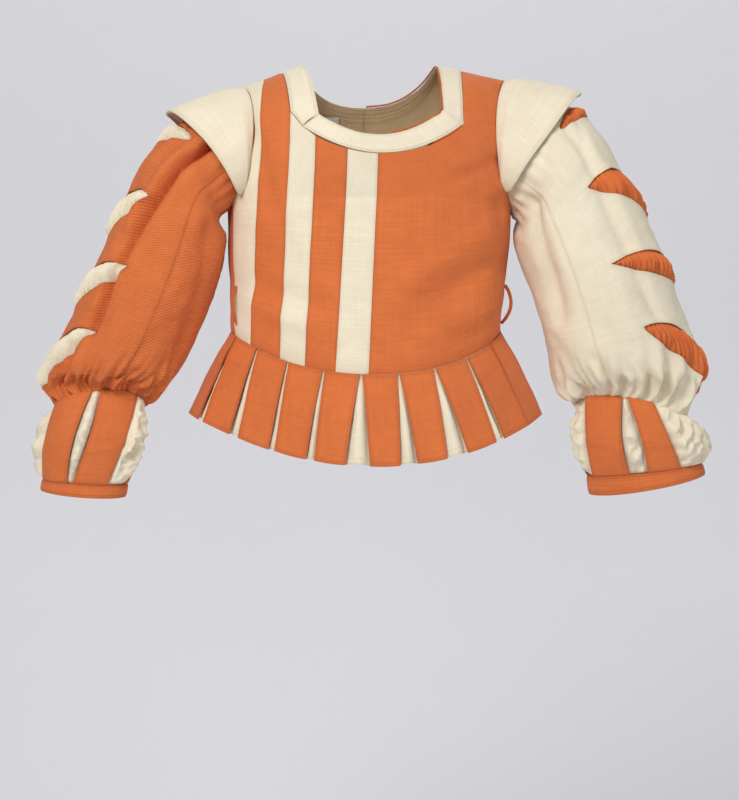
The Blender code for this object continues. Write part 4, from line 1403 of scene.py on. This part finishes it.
HEM_EASE = 0.0020
GAP_EDGE = 0.004
TAB_TOP = 0.0004
UNDERSKIRT_TOP = 0.0006
UNDERSKIRT_FULLNESS = 1.15
TAB_CELLS = (18, 44)
RIBBED_TABS = (2, 3, 4, 9, 14, 17)


def gap_at(length, down):
    """(distance from the middle of the nearest gap between tabs, its half-width), `down` the skirt."""
    grown = 1 + down * FLARE / DEPTH
    number = round((length - TAB_SHIFT) / PITCH)
    before, after = TAB_LEAN[(number - 1) % TABS], TAB_LEAN[number % TABS]
    fallen = down / TAB_LENGTH
    away = (length - TAB_SHIFT - number * PITCH) * grown - (before + after) / 2 * fallen
    return away, (PITCH * (grown - TAB_SHARE) + (after - before) * fallen) / 2


def sew_skirt():
    def place_underskirt(s, t, height):
        down = mix(UNDERSKIRT_TOP, TAB_LENGTH - HEM_EASE, t)
        return skirt(turn_at(s * WAIST_ROUND), down, height - WALL - 2 * GAP)

    def underskirt_relief(s, t, point):
        down = mix(UNDERSKIRT_TOP, TAB_LENGTH - HEM_EASE, t)
        away, half = gap_at(s * WAIST_ROUND, down)
        fallen = down / TAB_LENGTH
        height = -0.0030 * fallen
        if abs(away) < half + GAP_EDGE:
            bulge = cos(pi / 2 * min(abs(away) / (half + GAP_EDGE), 1.0)) ** 2
            height += bulge * min(max(half, 0.0) * 0.8 + 0.0022, 0.0075) * ease(fallen * 2.2)
        return height + (0.0016 * noise(point * 45) + 0.0006 * noise(point * 130)) * fallen

    ring = cut_of(place_underskirt, UNDERSKIRT_FULLNESS), (440, 44), CREAM_HEM, underskirt_relief
    sew("underskirt", place_underskirt, *ring, tube=True, held="gathered")
    for number in range(TABS):

        def place_whole(s, t, height, tab=place_tab(number)):
            return tab(s, mix(TAB_TOP / TAB_LENGTH - SKIRT_START / TAB_LENGTH, 1.0, t), height)

        def tab_relief(s, t, point, number=number):
            twist = 0.0040 * noise(Vector((number * 1.7, 0.3, 0.0)))
            curl = 0.0016 * t * (2 * s - 1) ** 2 + 0.0012 * swell(t) * ease(t * 3)
            hang = max(0.0, twist * (2 * s - 1)) * t**2
            return curl + hang + (0.0010 * noise(point * 34) + 0.0008) * ease(t * 4)

        finish = RUST_RIB_TAB if number in RIBBED_TABS else RUST_TAB
        way = cut_of(place_whole), TAB_CELLS, finish, tab_relief
        sew(f"tab_{number + 1:02d}", place_whole, *way, held="hung", sewn=(False, False))


def sew_belt_loop(side):
    """A loop whose ends are sewn down on the bodice."""
    bow, wide, thick = LOOPS[side]
    points = []
    for k in range(13):
        share = k / 12
        clear = WALL + 0.0004 + bow * swell(share) ** 0.8
        angle = side * SIDE_ANGLE[side] * (LOOP_TURN - 0.02 * swell(share))
        points.append(on_form(angle, mix(LOOP_TOP, LOOP_FOOT, share), clear))
    rouleau(f"belt_loop_{SIDE_NAMES[side]}", points, wide, thick)


# ---- studio

AIM = Vector((0.0, 0.0, -0.328))
CAMERA_SPOT = (-5, 4, 3.0)
# (name, spot, size, power, colour) of each lamp; a spot is a turn from the front, a height above level
# and a distance, seen from the middle of the picture
LAMPS = (
    ("key softbox", (-26, 36, 2.6), 0.8, 44, (1.0, 0.98, 0.95)),
    ("fill softbox", (48, 20, 2.8), 1.2, 15, (0.95, 0.97, 1.0)),
    ("back softbox", (165, 45, 2.4), 1.0, 16, (1.0, 1.0, 1.0)),
)
ROOM_LIGHT = (0.86, 0.88, 0.93, 1.0)
ROOM_STRENGTH = 0.35
PAPER_FLOOR, PAPER_WALL, PAPER_BEND = -1.10, 1.9, 0.7
PAPER_WIDE, PAPER_DEEP = 9, 8


def set_up(name, data, turn, rise, far):
    """Puts a lamp or the camera at a spot, facing the middle of the picture."""
    turn, up = radians(turn), radians(rise)
    level = Vector((sin(turn), -cos(turn), 0.0)) * cos(up)
    holder = bpy.data.objects.new(name, data)
    bpy.context.scene.collection.objects.link(holder)
    holder.location = AIM + (level + Vector((0.0, 0.0, sin(up)))) * far
    holder.rotation_euler = (AIM - holder.location).to_track_quat("-Z", "Y").to_euler()
    return holder


def build_backdrop():
    """A paper sweep: a floor that curves up into a wall, well clear of the garment."""
    bm = bmesh.new()
    bmesh.ops.create_grid(bm, x_segments=8, y_segments=60, size=0.5)
    curve = PAPER_WALL - PAPER_BEND
    for vert in bm.verts:
        x = vert.co.x * PAPER_WIDE
        along = vert.co.y * PAPER_DEEP
        turn = clip((along - curve) / PAPER_BEND, 0.0, pi / 2)
        over = max(along - curve - PAPER_BEND * pi / 2, 0.0)
        y = min(along, curve) + PAPER_BEND * sin(turn)
        vert.co = Vector((x, y, PAPER_FLOOR + PAPER_BEND * (1 - cos(turn)) + over))
    sweep = add_mesh(bm, "paper_sweep")
    look = Look("pale grey paper", 0.9)
    body = look.add("TexCoord", out=3)
    tone = look.mix(look.cloud(body, 0.6) + 0.5, (0.84, 0.84, 0.86), (0.88, 0.88, 0.90))
    look.feed(look.shader.inputs["Base Color"], tone)
    # From behind, the paper doesn't hide the garment.
    look.feed(look.shader.inputs["Alpha"], 1 - look.add("NewGeometry", out=6))
    sweep.data.materials.append(look.material)


def build_studio():
    build_backdrop()
    scene = bpy.context.scene
    scene.world = bpy.data.worlds.new("soft room light")
    scene.world.use_nodes = True
    sky = scene.world.node_tree.nodes["Background"]
    sky.inputs["Color"].default_value = ROOM_LIGHT
    sky.inputs["Strength"].default_value = ROOM_STRENGTH
    for name, spot, size, power, colour in LAMPS:
        lamp = bpy.data.lights.new(name, "AREA")
        lamp.energy = power
        lamp.size = size
        lamp.color = colour
        set_up(name, lamp, *spot)
    lens = bpy.data.cameras.new("camera")
    lens.lens = 135
    lens.sensor_width = 36
    scene.camera = set_up("camera", lens, *CAMERA_SPOT)
    scene.view_settings.view_transform = "Standard"


sew_bodice()
sew_neck()
for wearer_side in (-1, 1):
    sew_sleeve(wearer_side)
    sew_cuff(wearer_side)
sew_skirt()
for wearer_side in SIDE_NAMES:
    sew_belt_loop(wearer_side)
build_studio()
